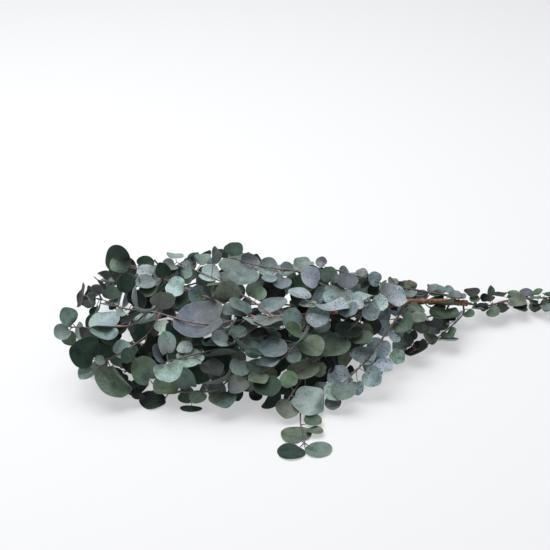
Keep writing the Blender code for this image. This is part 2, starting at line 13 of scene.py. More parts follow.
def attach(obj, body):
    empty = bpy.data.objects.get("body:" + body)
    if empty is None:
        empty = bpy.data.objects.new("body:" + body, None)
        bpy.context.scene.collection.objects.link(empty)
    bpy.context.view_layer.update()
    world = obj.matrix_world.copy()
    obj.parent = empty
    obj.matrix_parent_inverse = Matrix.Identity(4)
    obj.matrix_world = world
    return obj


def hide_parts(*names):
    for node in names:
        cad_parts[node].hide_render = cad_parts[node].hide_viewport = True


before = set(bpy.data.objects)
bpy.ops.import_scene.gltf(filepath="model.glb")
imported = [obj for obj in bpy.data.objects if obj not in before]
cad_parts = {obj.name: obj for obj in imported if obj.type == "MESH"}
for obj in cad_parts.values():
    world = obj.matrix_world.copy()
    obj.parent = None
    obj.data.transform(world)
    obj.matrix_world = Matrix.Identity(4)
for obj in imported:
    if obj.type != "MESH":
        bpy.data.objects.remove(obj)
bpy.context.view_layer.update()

MM = 0.001

# The layout is drawn as the branch looks from the front: across and up in the view, and height above
# the surface
VIEW_RISE = math.radians(28)
EYE_DISTANCE = 1.9
AIM = Vector((-0.067, 0.0215, 0.112))
RIGHT = Vector((1, 0, 0))
UP = Vector((0, math.sin(VIEW_RISE), math.cos(VIEW_RISE)))
TOWARD = Vector((0, -math.cos(VIEW_RISE), math.sin(VIEW_RISE)))
EYE = AIM + TOWARD * EYE_DISTANCE

# Stems
TUBE_STEPS = 2
SEAT_GAP = 0.3 * MM
SEAT_STEP = 0.05 * MM
TIP_SHARE = 0.55
END_ROOM = 2 * MM
SAME_SPOT = 0.01 * MM

# Leaves, in mm where no unit is named
BLADE_THICKNESS = 0.7 * MM
CLEARANCE = 0.35 * MM
LEAF_WIDTH = 0.94
LARGE_LEAF = 32
LARGE_SIDES = 8
SMALL_SIDES = 6
STALK = 2.0
LONGEST_STALK = 15
SUNK_SHARE = 0.2
LIFT_OFF = 0.3 * MM
PAIR_ROOM = 5 * MM
PIERCE_ROOM = 3 * MM
SEED = 41

# How a leaf's place is searched for: nudges across and up in mm, sizes, rolls in degrees, and roots
# on the stem
NUDGES = ((0, 0), (3, 0), (-3, 0), (0, 3), (0, -3))
SHRINKING = (1.0, 0.94, 0.88)
ROLLS = (0, 8, -8, 16, -16, 25, -25, 34, -34)
ROOT_STEPS = 59
ROOTS_TRIED = 14
LEAST_FACING = 0.12
CROWDED_COST = 0.6
SHOWN_STEPS = 30

# The least and most of a leaf's cup, fold and bend: for those that show, and for those that fill the stems
SEEN_FORM = ((0.05, 0.16), (0.0, 0.10), (-0.02, 0.05))
FILL_FORM = ((0.04, 0.18), (0.0, 0.12), (-0.04, 0.06))

# How filling leaves vary: how they stand round the stem in radians and lean toward its tip, how much their
# faces look along it, up, at the viewer and aside, what each try takes of their size, how that spreads, and
# their stalks in mm
FIRST_PAIR = 0.06
RING_SPREAD = 0.30
FORWARD = (0.1, 1.0)
FACE_ALONG = (-0.2, 0.6)
FACE_UP = (0.3, 1.0)
FACE_TOWARD = (0.0, 0.7)
FACE_ASIDE = (-0.4, 0.4)
FILL_SHARES = (1.0,) * 6 + (0.85,) * 5 + (0.7,) * 5
SIZE_SPREAD = (0.85, 1.1)
FILL_STALK = (1.5, 3.5)
MOST_HIDING = 5

# The thick stem and its two bare forks, each as its radii in mm and its route as across, up and height in mm
WOODY_TUBES = (
    ((2.9, 2.6), ((211, -31, 22), (196, -30, 27), (180, -29, 34), (162, -29, 42), (146, -29, 48))),
    ((1.7, 1.3), ((150, -29, 46), (136, -27, 52), (120, -25, 60), (103, -23, 66), (87, -22, 70))),
    ((1.9, 1.5), ((150, -29, 46), (127, -34, 52), (100, -38, 58), (72, -41, 62), (40, -43, 65),
        (10, -45, 68))),
)

# Each leafy stem: what carries it, its first radius in mm, and its route as across, up and height in mm
ROUTES = {
    "pink_stem": ("woody_stem", 1.3, (8, -45, 68), (-29, -48, 72), (-80, -54, 74), (-132, -41, 76),
        (-165, -37, 77), (-190, -27, 80)),
    "top_spray": ("pink_stem", 1.0, (0, -46, 70), (-20, -32, 76), (-44, -17, 84), (-64, -5, 90),
        (-85, 4, 93), (-108, 14, 95)),
    "top_left_stem": ("pink_stem", 1.1, (-18, -47, 72), (-52, -33, 76), (-76, -24, 80), (-100, -14, 84),
        (-128, -2, 88), (-158, 10, 90), (-166, 12, 91)),
    "top_centre_stem": ("woody_stem", 1.1, (85, -22, 70), (51, -10, 80), (28, 3, 88), (0, 7, 92),
        (-26, 12, 95), (-44, 18, 97)),
    "back_right_stem": ("woody_stem", 1.2, (205, -30, 22), (190, -23, 30), (168, -19, 38), (134, -13, 50),
        (107, -7, 60), (80, 2, 70), (56, 8, 78)),
    "pale_stem": ("woody_stem", 1.1, (125, -28, 58), (104, -30, 66), (82, -31, 71), (60, -33, 76),
        (36, -31, 82)),
    "low_centre_stem": ("pink_stem", 1.1, (-10, -47, 70), (-24, -60, 64), (-44, -74, 58), (-66, -82, 55),
        (-90, -88, 52), (-122, -96, 46)),
    "middle_stem": ("woody_stem", 0.9, (43, -44, 66), (31, -66, 58), (14, -86, 50), (-6, -102, 42),
        (-32, -113, 34)),
    "olive_stem": ("woody_stem", 1.1, (104, -38, 60), (90, -52, 54), (66, -76, 45), (38, -102, 34),
        (22, -126, 22), (12, -140, 14)),
    "blue_stem": ("woody_stem", 1.2, (146, -30, 46), (134, -48, 42), (116, -72, 38), (98, -96, 31),
        (78, -116, 23), (62, -130, 16)),
    "thin_stem": ("woody_stem", 1.0, (207, -31, 22), (206, -44, 15), (186, -63, 12), (170, -75, 13),
        (148, -86, 14)),
    "under_stem": ("woody_stem", 1.0, (196, -30, 26), (186, -40, 22), (168, -46, 24), (150, -49, 28)),
    "front_sprig": ("olive_stem", 0.9, (34, -108, 31), (33, -130, 14), (28, -153, 4.5), (29, -169, 3.2),
        (32, -180, 2.6), (33, -191, 2.4)),
    "left_low_stem": ("low_centre_stem", 1.1, (-34, -68, 60), (-40, -96, 40), (-58, -122, 24),
        (-84, -129, 16), (-112, -128, 12), (-132, -126, 11)),
    "left_down_stem": ("pink_stem", 1.0, (-126, -42, 76), (-139, -64, 64), (-160, -80, 54), (-180, -91, 44),
        (-195, -99, 36)),
    "left_tip_stem": ("pink_stem", 1.0, (-140, -40, 76), (-156, -54, 74), (-178, -57, 72), (-207, -58, 70),
        (-227, -57, 68)),
    "tail_stem": ("woody_stem", 1.2, (211, -31, 20), (232, -34, 13), (262, -27, 14), (300, -25, 15),
        (330, -27, 14), (346, -28, 12)),
    "back_left_stem": ("top_left_stem", 1.0, (-36, -40, 74), (-60, -30, 58), (-100, -22, 50),
        (-140, -14, 44), (-178, -10, 40)),
    "back_middle_stem": ("woody_stem", 1.0, (60, -41, 62), (40, -36, 44), (0, -32, 32), (-44, -34, 20),
        (-90, -42, 11), (-132, -46, 7)),
    "back_top_stem": ("top_centre_stem", 0.9, (40, -4, 84), (16, -4, 68), (-22, 0, 66), (-66, 2, 66),
        (-104, 2, 64), (-140, 0, 62)),
    "inner_low_stem": ("woody_stem", 1.0, (24, -42, 66), (4, -56, 42), (-44, -70, 30), (-96, -78, 24),
        (-146, -76, 22), (-186, -70, 20)),
    "inner_left_stem": ("inner_low_stem", 0.9, (-70, -74, 27), (-104, -98, 18), (-146, -106, 14),
        (-186, -104, 12)),
    "under_front_stem": ("woody_stem", 0.9, (96, -39, 58), (84, -56, 34), (54, -82, 22), (20, -112, 12),
        (-14, -124, 9)),
    "back_right_low_stem": ("woody_stem", 1.0, (160, -29, 42), (142, -27, 30), (106, -30, 18), (66, -39, 9),
        (28, -42, 7)),
}

# Leaves that lie flat on the surface, and that the branch rests on: the tones, in the leaves' order, and for
# each leaf its place across and up and its size in mm
RESTING = {
    "front_sprig": ("olive pine green", (23, -176, 34), (20, -193, 34), (47, -192, 30)),
    "left_low_stem": ("pine pine", (-133, -138, 37), (-92, -146, 24)),
    "tail_stem": ("grey", (320, -38, 20)),
    "back_middle_stem": ("moss grey", (-118, -56, 32), (-66, -50, 30)),
    "back_right_low_stem": ("grey", (48, -51, 28)),
}

# The leaves that show most: the tones, in the leaves' order, and for each leaf its place across and up and
# its size in mm, its open share, and its lean in degrees, 90 where none is named. Two tones run from stalk
# to tip
SEEN = {
    "pink_stem": ("plum grey slate umber frost mint frost pine green umber ink pine", (-79, -53, 62, 0.6),
        (19, -50, 29, 0.73, 0), (0, -37, 34, 0.58), (-124, -29, 27, 0.72), (-142, -50, 31, 0.68),
        (-170, -41, 15, 0.64, 0), (-180, -33, 23, 0.62), (-179, -20, 23, 0.76), (-203, -25, 14, 0.6, 0),
        (-195, -26, 15, 0.6, 180), (-213, -21, 30, 0.24, 180), (-165, -10, 25, 0.78, 0)),
    "top_spray": ("mint green frost mint grey frost moss", (-110, 20, 21, 0.28), (-81, 16, 24, 0.55),
        (-73, 1, 25, 0.78), (-99, 1, 21, 0.84, 0), (-67, 21, 21, 0.47, 0), (-44, -17, 20, 0.67),
        (-17, -21, 17, 0.93)),
    "top_left_stem": ("pine umber pine mint grey frost slate", (-172, 18, 33, 0.95, 100), (-185, 1, 9, 0.9),
        (-152, 10, 22, 0.65), (-139, 2, 21, 0.85), (-140, -4, 32, 0.76), (-109, -13, 24, 0.82),
        (-86, -22, 24, 0.77, 0)),
    "top_centre_stem": ("grey slate grey pine grey slate pale", (12, 7, 21, 0.9), (-8, 8, 25, 0.91, 80),
        (-34, 14, 26, 0.92), (-45, 25, 22, 0.8), (-34, -2, 36, 0.52), (-9, -10, 19, 0.5),
        (40, -3, 25, 0.83, 20)),
    "back_right_stem": ("grey olive slate slate grey husk grey/green olive/grey umber",
        (51, 13, 14, 0.85, 60), (59, 1, 17, 0.87), (74, 4, 15, 0.6, 45), (110, -5, 18, 0.9, 30),
        (131, -8, 11, 0.9), (149, -9, 10, 0.7), (178, -18, 24, 0.55), (199, -24, 24, 0.41),
        (216, -19, 20, 0.55)),
    "pale_stem": ("pale pale pale grey pale slate pale slate", (38, -32, 25, 0.74), (63, -35, 38, 0.43),
        (86, -34, 26, 0.33), (91, -42, 23, 0.25), (96, -25, 23, 0.62), (106, -40, 21, 0.85, 150),
        (120, -26, 33, 0.28), (124, -40, 19, 0.41, 0)),
    "low_centre_stem": ("umber frost frost frost pine mint/frost mint frost green olive",
        (-18, -65, 24, 0.8), (-41, -64, 23, 0.9), (-59, -71, 22, 0.9, 0), (-71, -75, 24, 0.64),
        (-62, -83, 44, 0.57), (-96, -94, 32, 0.8), (-116, -102, 32, 0.59), (-121, -75, 27, 0.72, 0),
        (-40, -101, 22, 0.85), (-7, -66, 24, 0.82)),
    "middle_stem": ("grey slate mint olive green olive/grey pine", (43, -52, 33, 0.7), (0, -82, 33, 0.57),
        (-8, -98, 27, 0.88), (-18, -114, 22, 0.55), (-22, -101, 23, 0.71), (-40, -121, 25, 0.74),
        (-9, -123, 31, 0.71)),
    "olive_stem": ("moss fern olive olive fern olive mint pine", (65, -79, 38, 0.6), (73, -90, 29, 0.62, 0),
        (49, -103, 18, 0.95), (31, -104, 37, 0.7), (15, -116, 23, 0.9, 45), (14, -146, 27, 0.76),
        (38, -139, 38, 0.77), (82, -62, 30, 0.63)),
    "blue_stem": ("slate slate slate pale/slate pale slate pale/slate slate green mint",
        (121, -59, 20, 0.95), (114, -80, 29, 0.96), (135, -80, 29, 0.69, 0), (96, -91, 31, 0.57),
        (119, -101, 23, 0.62), (107, -112, 25, 0.8, 150), (72, -115, 30, 0.93), (91, -124, 20, 0.95),
        (71, -135, 27, 0.56), (59, -134, 29, 0.6)),
    "thin_stem": ("umber/ink olive mint green", (158, -84, 32, 0.48), (169, -70, 20, 0.5, 45),
        (190, -71, 26, 0.35), (146, -97, 19, 0.94)),
    "under_stem": ("moss/umber ink grey", (186, -44, 36, 0.39), (175, -54, 25, 0.35), (155, -42, 22, 0.9)),
    "front_sprig": ("moss olive", (42, -161, 24, 0.64), (43, -172, 22, 0.5)),
    "left_low_stem": ("olive/green moss fern green/moss", (-58, -136, 31, 0.61), (-84, -134, 20, 0.72),
        (-117, -124, 32, 0.93), (-144, -106, 33, 0.87, 0)),
    "left_down_stem": ("mint pine mint pine green moss umber", (-168, -82, 21, 0.95), (-187, -85, 27, 0.88),
        (-193, -94, 16, 0.6), (-211, -83, 38, 0.83, 0), (-207, -108, 20, 0.67), (-176, -115, 44, 0.83, 60),
        (-141, -75, 29, 0.65, 0)),
    "left_tip_stem": ("frost mint/slate green green", (-188, -51, 37, 0.5), (-189, -65, 34, 0.5),
        (-227, -47, 23, 0.76, 30), (-233, -63, 20, 0.89)),
    "tail_stem": ("moss umber plum umber olive umber moss moss", (237, -18, 14, 0.7, 0),
        (248, -22, 19, 0.35), (277, -21, 19, 0.5), (249, -35, 18, 0.75), (266, -31, 25, 0.35),
        (270, -38, 19, 0.5), (285, -35, 14, 0.9), (300, -33, 17, 0.9)),
}

# The pairs that fill the stems: how far apart in mm, and the leaves' size near the start and near the tip
FILLING = {
    "pink_stem": (24, 36, 24), "top_spray": (21, 30, 22), "top_left_stem": (23, 32, 24),
    "top_centre_stem": (21, 30, 24), "back_right_stem": (24, 26, 22), "pale_stem": (20, 30, 24),
    "low_centre_stem": (22, 32, 26), "middle_stem": (21, 30, 24), "olive_stem": (22, 34, 26),
    "blue_stem": (23, 30, 26), "thin_stem": (26, 22, 24), "under_stem": (18, 24, 22),
    "left_low_stem": (24, 34, 30), "left_down_stem": (22, 34, 28), "left_tip_stem": (22, 34, 22),
    "tail_stem": (20, 20, 13), "back_left_stem": (25, 38, 32), "back_middle_stem": (28, 38, 32),
    "back_top_stem": (28, 36, 30), "inner_low_stem": (28, 38, 32), "inner_left_stem": (25, 36, 30),
    "under_front_stem": (25, 34, 28), "back_right_low_stem": (24, 34, 28),
}

# What grows last: one more stem at the left, and leaves that show where the others left room, listed as above
LATE_ROUTES = {
    "left_fork_stem": ("pink_stem", 0.8, (-182, -30, 79.5), (-196, -26, 80), (-208, -23, 80)),
}
LATE = {
    "left_fork_stem": ("ink ink umber umber", (-212, -22, 30, 0.3, 170), (-202, -24, 26, 0.6, 180),
        (-205, -32, 16, 0.6), (-196, -16, 18, 0.7, 60)),
    "top_left_stem": ("pine/moss umber", (-171, 12, 26, 0.85, 80), (-160, -8, 26, 0.7)),
    "middle_stem": ("slate olive", (19, -50, 29, 0.73, 40), (-7, -66, 24, 0.82)),
    "inner_low_stem": ("green ink", (-40, -101, 22, 0.85), (-20, -63, 24, 0.8)),
    "blue_stem": ("green", (146, -97, 19, 0.94)),
    "back_right_stem": ("grey umber slate", (148, -21, 16, 0.6), (163, -21, 14, 0.6),
        (193, -20, 18, 0.6, 60)),
    "under_stem": ("moss moss pine", (154, -37, 17, 0.5), (155, -48, 20, 0.6), (193, -47, 18, 0.65)),
    "tail_stem": ("umber moss umber ink olive moss umber grey moss umber moss", (233, -27, 19, 0.4),
        (218, -28, 14, 0.7), (249, -38, 22, 0.4), (240, -34, 16, 0.5), (258, -26, 14, 0.5, 60),
        (283, -28, 11, 0.6), (289, -36, 14, 0.7), (300, -38, 18, 0.5), (300, -26, 18, 0.6),
        (312, -34, 15, 0.6), (330, -30, 16, 0.6)),
}

# The branch's outline in the front view, as across and up in mm, which the filling leaves keep inside
TOP_EDGE = ((-243, -62), (-236, -36), (-218, -12), (-188, 10), (-176, 30), (-150, 14), (-120, 17),
            (-100, 24), (-40, 34), (-8, 20), (40, 15), (60, 16), (90, 4), (140, -5), (190, -14), (230, -12),
            (302, -22), (350, -24))
LOW_EDGE = ((-243, -62), (-232, -76), (-214, -114), (-181, -132), (-140, -150), (-90, -143), (-42, -143),
            (0, -152), (58, -156), (76, -143), (120, -122), (172, -94), (205, -70), (226, -40), (302, -42),
            (350, -40))

# Leaf tones, as red, green and blue in steps of 255. The near-black tone is painted shade, for leaves that
# lie in deep shade
TONES = {
    "mint": (135, 153, 147), "frost": (150, 168, 165), "grey": (103, 114, 115), "slate": (116, 133, 137),
    "plum": (91, 98, 104), "pale": (149, 163, 166), "olive": (98, 109, 92), "moss": (82, 101, 81),
    "fern": (90, 107, 83), "pine": (43, 62, 51), "umber": (49, 53, 49), "ink": (22, 25, 27),
    "husk": (92, 78, 62), "green": (97, 119, 108),
}

# More leaves that show, each on the nearest stem that lets it be seen: across, up and size in mm, open share,
# lean in degrees, and tone
FRONT_LEAVES = (
    (-30, -78, 24, 0.8, 60, "green"), (-15, -84, 22, 0.8, 120, "green"),
    (-54, -112, 22, 0.8, 60, "olive/grey"), (-125, -56, 18, 0.7, 90, "frost"),
    (-109, -56, 15, 0.8, 90, "mint"), (-39, -101, 23, 0.8, 90, "mint"), (-48, -84, 26, 0.7, 90, "green"),
    (-70, -103, 26, 0.7, 90, "umber"), (38, -77, 30, 0.6, 90, "olive"), (54, -84, 28, 0.55, 90, "moss"),
    (157, -40, 18, 0.5, 90, "moss"), (-22, -97, 16, 0.8, 90, "green"), (-71, -75, 17, 0.8, 90, "mint"),
    (-44, -42, 17, 0.6, 90, "frost"), (-46, -15, 15, 0.8, 90, "mint"), (-196, -16, 17, 0.7, 60, "umber"),
    (-142, -9, 28, 0.7, 90, "grey"), (-156, -31, 28, 0.75, 90, "ink"), (-160, -48, 24, 0.7, 90, "ink"),
    (-97, 9, 20, 0.75, 120, "mint"), (-114, 0, 18, 0.7, 90, "umber"), (84, -20, 24, 0.5, 90, "pale"),
    (112, -31, 22, 0.45, 90, "pale"), (128, -42, 20, 0.5, 90, "slate"), (152, -37, 17, 0.5, 90, "olive"),
    (46, -52, 26, 0.6, 90, "slate"), (20, -70, 24, 0.6, 90, "slate"), (5, -58, 22, 0.6, 60, "grey"),
    (96, -70, 24, 0.6, 90, "moss"), (-86, -78, 24, 0.6, 90, "pine"), (10, -16, 22, 0.6, 90, "grey"),
    (180, -36, 18, 0.4, 90, "olive"), (-56, -66, 18, 0.8, 60, "mint"), (-12, -98, 18, 0.8, 60, "mint"),
    (-100, -80, 18, 0.8, 90, "mint"), (-172, -14, 18, 0.8, 90, "olive"), (258, -36, 20, 0.55, 90, "moss"),
    (244, -28, 18, 0.5, 90, "umber"), (275, -30, 19, 0.55, 90, "olive"), (224, -34, 18, 0.5, 90, "moss"),
    (290, -35, 18, 0.55, 90, "umber"), (262, -21, 15, 0.6, 60, "moss"), (291, -24, 16, 0.6, 90, "moss"),
    (240, -38, 17, 0.5, 90, "moss"), (308, -30, 15, 0.6, 90, "umber"), (165, -46, 20, 0.5, 90, "olive"),
    (173, -36, 18, 0.5, 90, "grey"), (192, -39, 17, 0.45, 90, "moss"), (140, -50, 22, 0.6, 90, "grey"),
    (128, -62, 22, 0.65, 90, "slate"), (202, -22, 16, 0.5, 90, "grey"), (174, -14, 16, 0.6, 90, "grey"),
    (96, 2, 18, 0.7, 90, "grey"), (30, 12, 20, 0.75, 90, "grey"),
)
SIGHT_PLACES = ((0, 0), (0.5, 0), (-0.5, 0), (0, 0.5), (0, -0.5))
FRONT_REACH = 30
FRONT_STEMS = 5

# The tones to draw from for the other leaves of each stem. The inner, back middle and under front stems draw
# dark tones, a painted shade for the inside of the branch
STEM_TONES = {
    "pink_stem": "mint mint frost green grey umber plum", "top_spray": "mint frost green moss grey",
    "top_left_stem": "mint grey olive pine umber", "top_centre_stem": "grey slate plum green pine",
    "back_right_stem": "grey slate olive pine", "pale_stem": "pale pale frost slate",
    "low_centre_stem": "mint mint green plum", "middle_stem": "olive grey mint moss pine",
    "olive_stem": "olive olive moss pine green", "blue_stem": "slate slate pale grey moss",
    "thin_stem": "green slate moss plum", "under_stem": "grey olive moss", "front_sprig": "olive moss",
    "left_low_stem": "pine moss green pine", "left_down_stem": "pine moss umber pine",
    "left_tip_stem": "mint moss frost", "tail_stem": "umber moss ink olive moss",
    "back_left_stem": "green grey pine umber", "back_middle_stem": "green pine umber ink",
    "back_top_stem": "mint grey green pine", "inner_low_stem": "umber pine ink moss",
    "inner_left_stem": "pine moss ink", "under_front_stem": "pine pine moss ink",
    "back_right_low_stem": "slate grey pine olive", "left_fork_stem": "ink umber",
}
TWIG_START = (148, 112, 110)
TWIG_END = (86, 78, 75)
GREY_TWIG_START = (98, 88, 82)
PINK_STEMS = ("pink_stem", "top_spray", "top_left_stem", "left_tip_stem", "left_down_stem")
# Painted shade and light on the leaves' tones: the leaves that fill the stems are darkened to this share, and
# each leaf that shows is darker when seen edge on and lighter the more it faces the viewer
INNER_PAINTED_SHADE = 0.97
EDGE_ON_PAINTED_SHADE = 0.85
FACING_PAINTED_LIGHT = 0.6
TONE_SPREAD = (0.9, 1.1)

# Places of the front view where the white surface shows between the leaves: left, right, low and high in mm
OPEN_PLACES = ((-76, -62, -27, -10), (-36, -17, -43, -21), (-106, -83, -129, -110), (-240, -200, -63, 20),
               (-173, -142, -82, -58))

# The small leaves that close the other gaps: where they are looked for, their sizes in mm and what each try
# takes of them, and their dark tones, a painted shade for the gaps between the leaves
GAP_SPAN = (-214, 152)
GAP_STEP = 5
GAP_MARGIN = 8
GAP_REACH = 24
GAP_STEMS = 4
GAP_ROOTS = 5
GAP_SIZES = (20, 28)
GAP_SHARES = (1.0, 1.0, 0.85, 0.75, 0.65)
GAP_ROLLS = (0, 20, -20)
GAP_PAINTED_SHADE_TONES = "pine umber ink pine moss"

# The least and most of a fine leaf's point, notch, waves, skew, width, crease and roll, in half blades and
# degrees, and the rows of its mesh
POINT = (0.0, 0.10)
POINT_WIDTH = 0.28
NOTCH = (0.10, 0.36)
NOTCH_WIDTH = (0.22, 0.50)
WAVE = (0.02, 0.10)
WAVES = (2, 2, 3, 3, 4)
LOBES = ((3, 1, 0.022), (5, 2, 0.012))
SKEW = (0.0, 0.06)
WIDTH = (1.0, 1.14)
CREASE = (0.0, 0.16)
ROLL_START = (0.1, 0.6)
ROLL_TURN = (-35, 60)
ROLL_RADIUS = 0.4
TIGHT_ROLL = 0.3
HUGE_LEAF = 50
ROWS = (10, 14, 22)

# Fine stems, stalks and bark
FINE_STEPS = 7
FINE_THICKNESS = 0.45 * MM
FLAT_LEAF = 0.5 * MM
STALK_RADIUS = 0.55 * MM
STALK_ENDS = (1.25, 0.7)
STALK_SIDES = 7
STALK_REACH = -0.84
STALK_SHADE = 0.4
MIDDLE_LEAF = 28
COLLAR = (0.7, 3 * MM)
KNOT = (0.35, 1.6 * MM)
BARK_COLLAR = (0.22, 2.5 * MM)
TIP_END = (0.35, 5 * MM)
TWIG_SIDES = 8
BARK_SIDES = 16
FITTING_SHARES = (0.98, 0.95, 0.92, 0.89, 0.86, 0.82)
BARK_SHARE = 1.14
FORK_SHARE = 1.05
SKIN_GRAIN = 0.5 * MM
CUT_DEPTH = 0.3 * MM
CUT_EDGE = 1.0 * MM
RIDGE_GRAIN = Vector((60, 450, 450))
RIDGE_DEPTH = 0.22 * MM
LUMP_GRAIN = 190
LUMP_DEPTH = 0.45 * MM
SMOOTHINGS = 3
BARK_SHARP = 50
LEAF_SHARP = 60

# Leaves with a rim folded over: the side that it lies on in the front view in degrees from the right, where
# on the half blade the crease starts, how far it turns in degrees, and how tightly
FOLDS = {
    ("top_left_stem", -172, 18): (85, 0.9, 0, 1),
    ("top_left_stem", -171, 12): (85, 0.55, 125, 0.1),
    ("left_down_stem", -176, -115): (40, 0.15, 135, 0.16),
    ("pink_stem", -79, -53): (12, 0.02, 20, 0.1),
    ("low_centre_stem", -62, -83): (-80, 0.45, 70, 0.15),
    ("olive_stem", 38, -139): (-30, 0.35, -50, 0.3),
    ("pale_stem", 63, -35): (100, 0.4, -45, 0.3),
    ("thin_stem", 158, -84): (90, 0.1, 60, 0.3),
}

# The leafy stems that aren't among the mint ones
OLIVE_STEMS = ("middle_stem", "olive_stem", "front_sprig", "left_low_stem", "under_front_stem",
               "inner_left_stem")
BLUE_STEMS = ("blue_stem", "pale_stem", "thin_stem", "under_stem", "tail_stem", "back_right_stem")

# The surface, light and camera, in metres, degrees and watts
FLOOR_SIZE = 12
FLOOR_DEPTH = 0.1 * MM
LAMP_PLACE = Vector((-0.5, 0.38, 1.5))
LAMP_TARGET = Vector((0, 0, 0.04))
LAMP_SIZE = 1.75
LAMP_POWER = 35.0
ROOM_STRENGTH = 0.42
SENSOR_WIDTH = 36
VIEW_WIDTH = 0.605


def aim_at(across, up):
    """The way from the eye to this place of the front view, in mm from its middle."""
    return AIM + (RIGHT * across + UP * up) * MM - EYE


def in_view(across, up, height):
    """The point at this height that shows at this place of the front view, all three in mm."""
    ray = aim_at(across, up)
    return EYE + ray * ((height * MM - EYE.z) / ray.z)


def seen_at(point):
    """Where a point shows in the front view, as across and up in mm."""
    ray = point - EYE
    scale = EYE_DISTANCE / -ray.dot(TOWARD)
    spot = EYE + ray * scale - AIM
    return spot.dot(RIGHT) / MM, spot.dot(UP) / MM


def in_plane(degrees):
    """The way across the front view that lies this far from the right."""
    return RIGHT * math.cos(math.radians(degrees)) + UP * math.sin(math.radians(degrees))


def facing(open_share, lean):
    """The way that a leaf's upper face looks. Its open share is 1 where it faces the viewer and 0 where it is
    edge on, and its lean is the way that the face tips, in degrees from the right."""
    return TOWARD * open_share + in_plane(lean) * math.sqrt(1 - open_share**2)


def edge_at(edge, across):
    """How high an edge of the outline is at this place across."""
    for (left, start), (right, end) in zip(edge, edge[1:]):
        if left <= across <= right:
            return start + (end - start) * (across - left) / (right - left)
    return None


def smooth_route(points, steps=TUBE_STEPS):
    """Points along one smooth curve through the route's own points."""
    ends = [2 * points[0] - points[1], *points, 2 * points[-1] - points[-2]]
    found = []
    for a, b, c, d in zip(ends, ends[1:], ends[2:], ends[3:]):
        for step in range(steps):
            t = step / steps
            bend = (2 * a - 5 * b + 4 * c - d) * t * t + (3 * b - a - 3 * c + d) * t**3
            found.append(0.5 * (2 * b + (c - a) * t + bend))
    found.append(points[-1].copy())
    return found


def lengths_along(line):
    """How far from the start of a line each of its points is."""
    steps = [0.0]
    for a, b in zip(line, line[1:]):
        steps.append(steps[-1] + (b - a).length)
    return steps


def corners_of(bm):
    """A mesh's lowest and highest corner."""
    places = [vert.co for vert in bm.verts]
    return [Vector([pick(place[k] for place in places) for k in range(3)]) for pick in (min, max)]


def tree_of(bm):
    """A shape to test others against, in place of its mesh."""
    tree = BVHTree.FromBMesh(bm)
    bm.free()
    return tree


def clear_of(tree, points, room):
    """Whether all the points lie outside a closed solid, with this room to it."""
    for point in points:
        spot, normal, _, gap = tree.find_nearest(point)
        if gap < room or (point - spot).dot(normal) < 0:
            return False
    return True


def linked(name, data):
    """A new object in the scene."""
    thing = bpy.data.objects.new(name, data)
    bpy.context.scene.collection.objects.link(thing)
    return thing


def mesh_of(bm, name):
    """The stored mesh of a shape, in place of the one in work."""
    mesh = bpy.data.meshes.new(name)
    bm.to_mesh(mesh)
    bm.free()
    return mesh


def take_in(bm, mesh):
    """Add a stored mesh to the one in work, in whose place it goes."""
    bm.from_mesh(mesh)
    bpy.data.meshes.remove(mesh)


def baked(thing):
    """The mesh of an object as its curve or its modifier gives it."""
    return bpy.data.meshes.new_from_object(thing.evaluated_get(bpy.context.evaluated_depsgraph_get()))


def tube_along(name, line, radii, sides):
    """A closed tube with these radii along a line."""
    curve = bpy.data.curves.new(name, "CURVE")
    curve.dimensions = "3D"
    curve.bevel_depth = 1.0
    curve.bevel_resolution = (sides - 4) // 2
    curve.use_fill_caps = True
    spline = curve.splines.new("POLY")
    spline.points.add(len(line) - 1)
    for point, place, radius in zip(spline.points, line, radii):
        point.co = (*place, 1.0)
        point.radius = radius
    holder = linked(name, curve)
    bm = bmesh.new()
    take_in(bm, baked(holder))
    bpy.data.objects.remove(holder)
    bpy.data.curves.remove(curve)
    bmesh.ops.remove_doubles(bm, verts=bm.verts, dist=SAME_SPOT)
    bmesh.ops.recalc_face_normals(bm, faces=bm.faces)
    return bm


class Stem:
    """A stem: its route and centre line, its radius in mm at both ends, its shape, and its leaves."""

    def __init__(self, name, route, radius, tip, sides=4):
        self.name = name
        self.route = route
        self.line = smooth_route(route)
        self.radius = radius
        self.tip = tip
        self.steps = lengths_along(self.line)
        self.length = self.steps[-1]
        radii = [self.radius_at(reach) for reach in self.steps]
        self.tree = tree_of(tube_along(name, self.line, radii, sides))
        self.leaves = []

    def at(self, reach):
        """The centre line's point and direction at this distance from its start."""
        for k, (a, b) in enumerate(zip(self.line, self.line[1:])):
            if reach <= self.steps[k + 1] or k == len(self.line) - 2:
                way = (b - a).normalized()
                return a + way * (reach - self.steps[k]), way

    def radius_at(self, reach):
        return (self.radius + (self.tip - self.radius) * reach / self.length) * MM

    def nearest(self, point):
        """The centre line's point nearest to this one."""
        best = None
        for a, b in zip(self.line, self.line[1:]):
            way = b - a
            share = min(max((point - a).dot(way) / way.length_squared, 0.0), 1.0)
            spot = a + way * share
            if best is None or (spot - point).length < (best - point).length:
                best = spot
        return best

    def branch_off(self, radius, points):
        """The route of a stem that grows here, whose first point moves out until its end clears this one."""
        first = self.nearest(points[0])
        way = (points[1] - first).normalized()
        side = way.orthogonal().normalized()
        other = way.cross(side)
        angles = [math.radians(45 * k) for k in range(8)]
        ring = [(side * math.cos(a) + other * math.sin(a)) * radius * MM for a in angles]
        step = 0.0
        while not clear_of(self.tree, [first + way * step + spoke for spoke in [Vector(), *ring]], SEAT_GAP):
            step += SEAT_STEP
        return [first + way * step, *points[1:]]


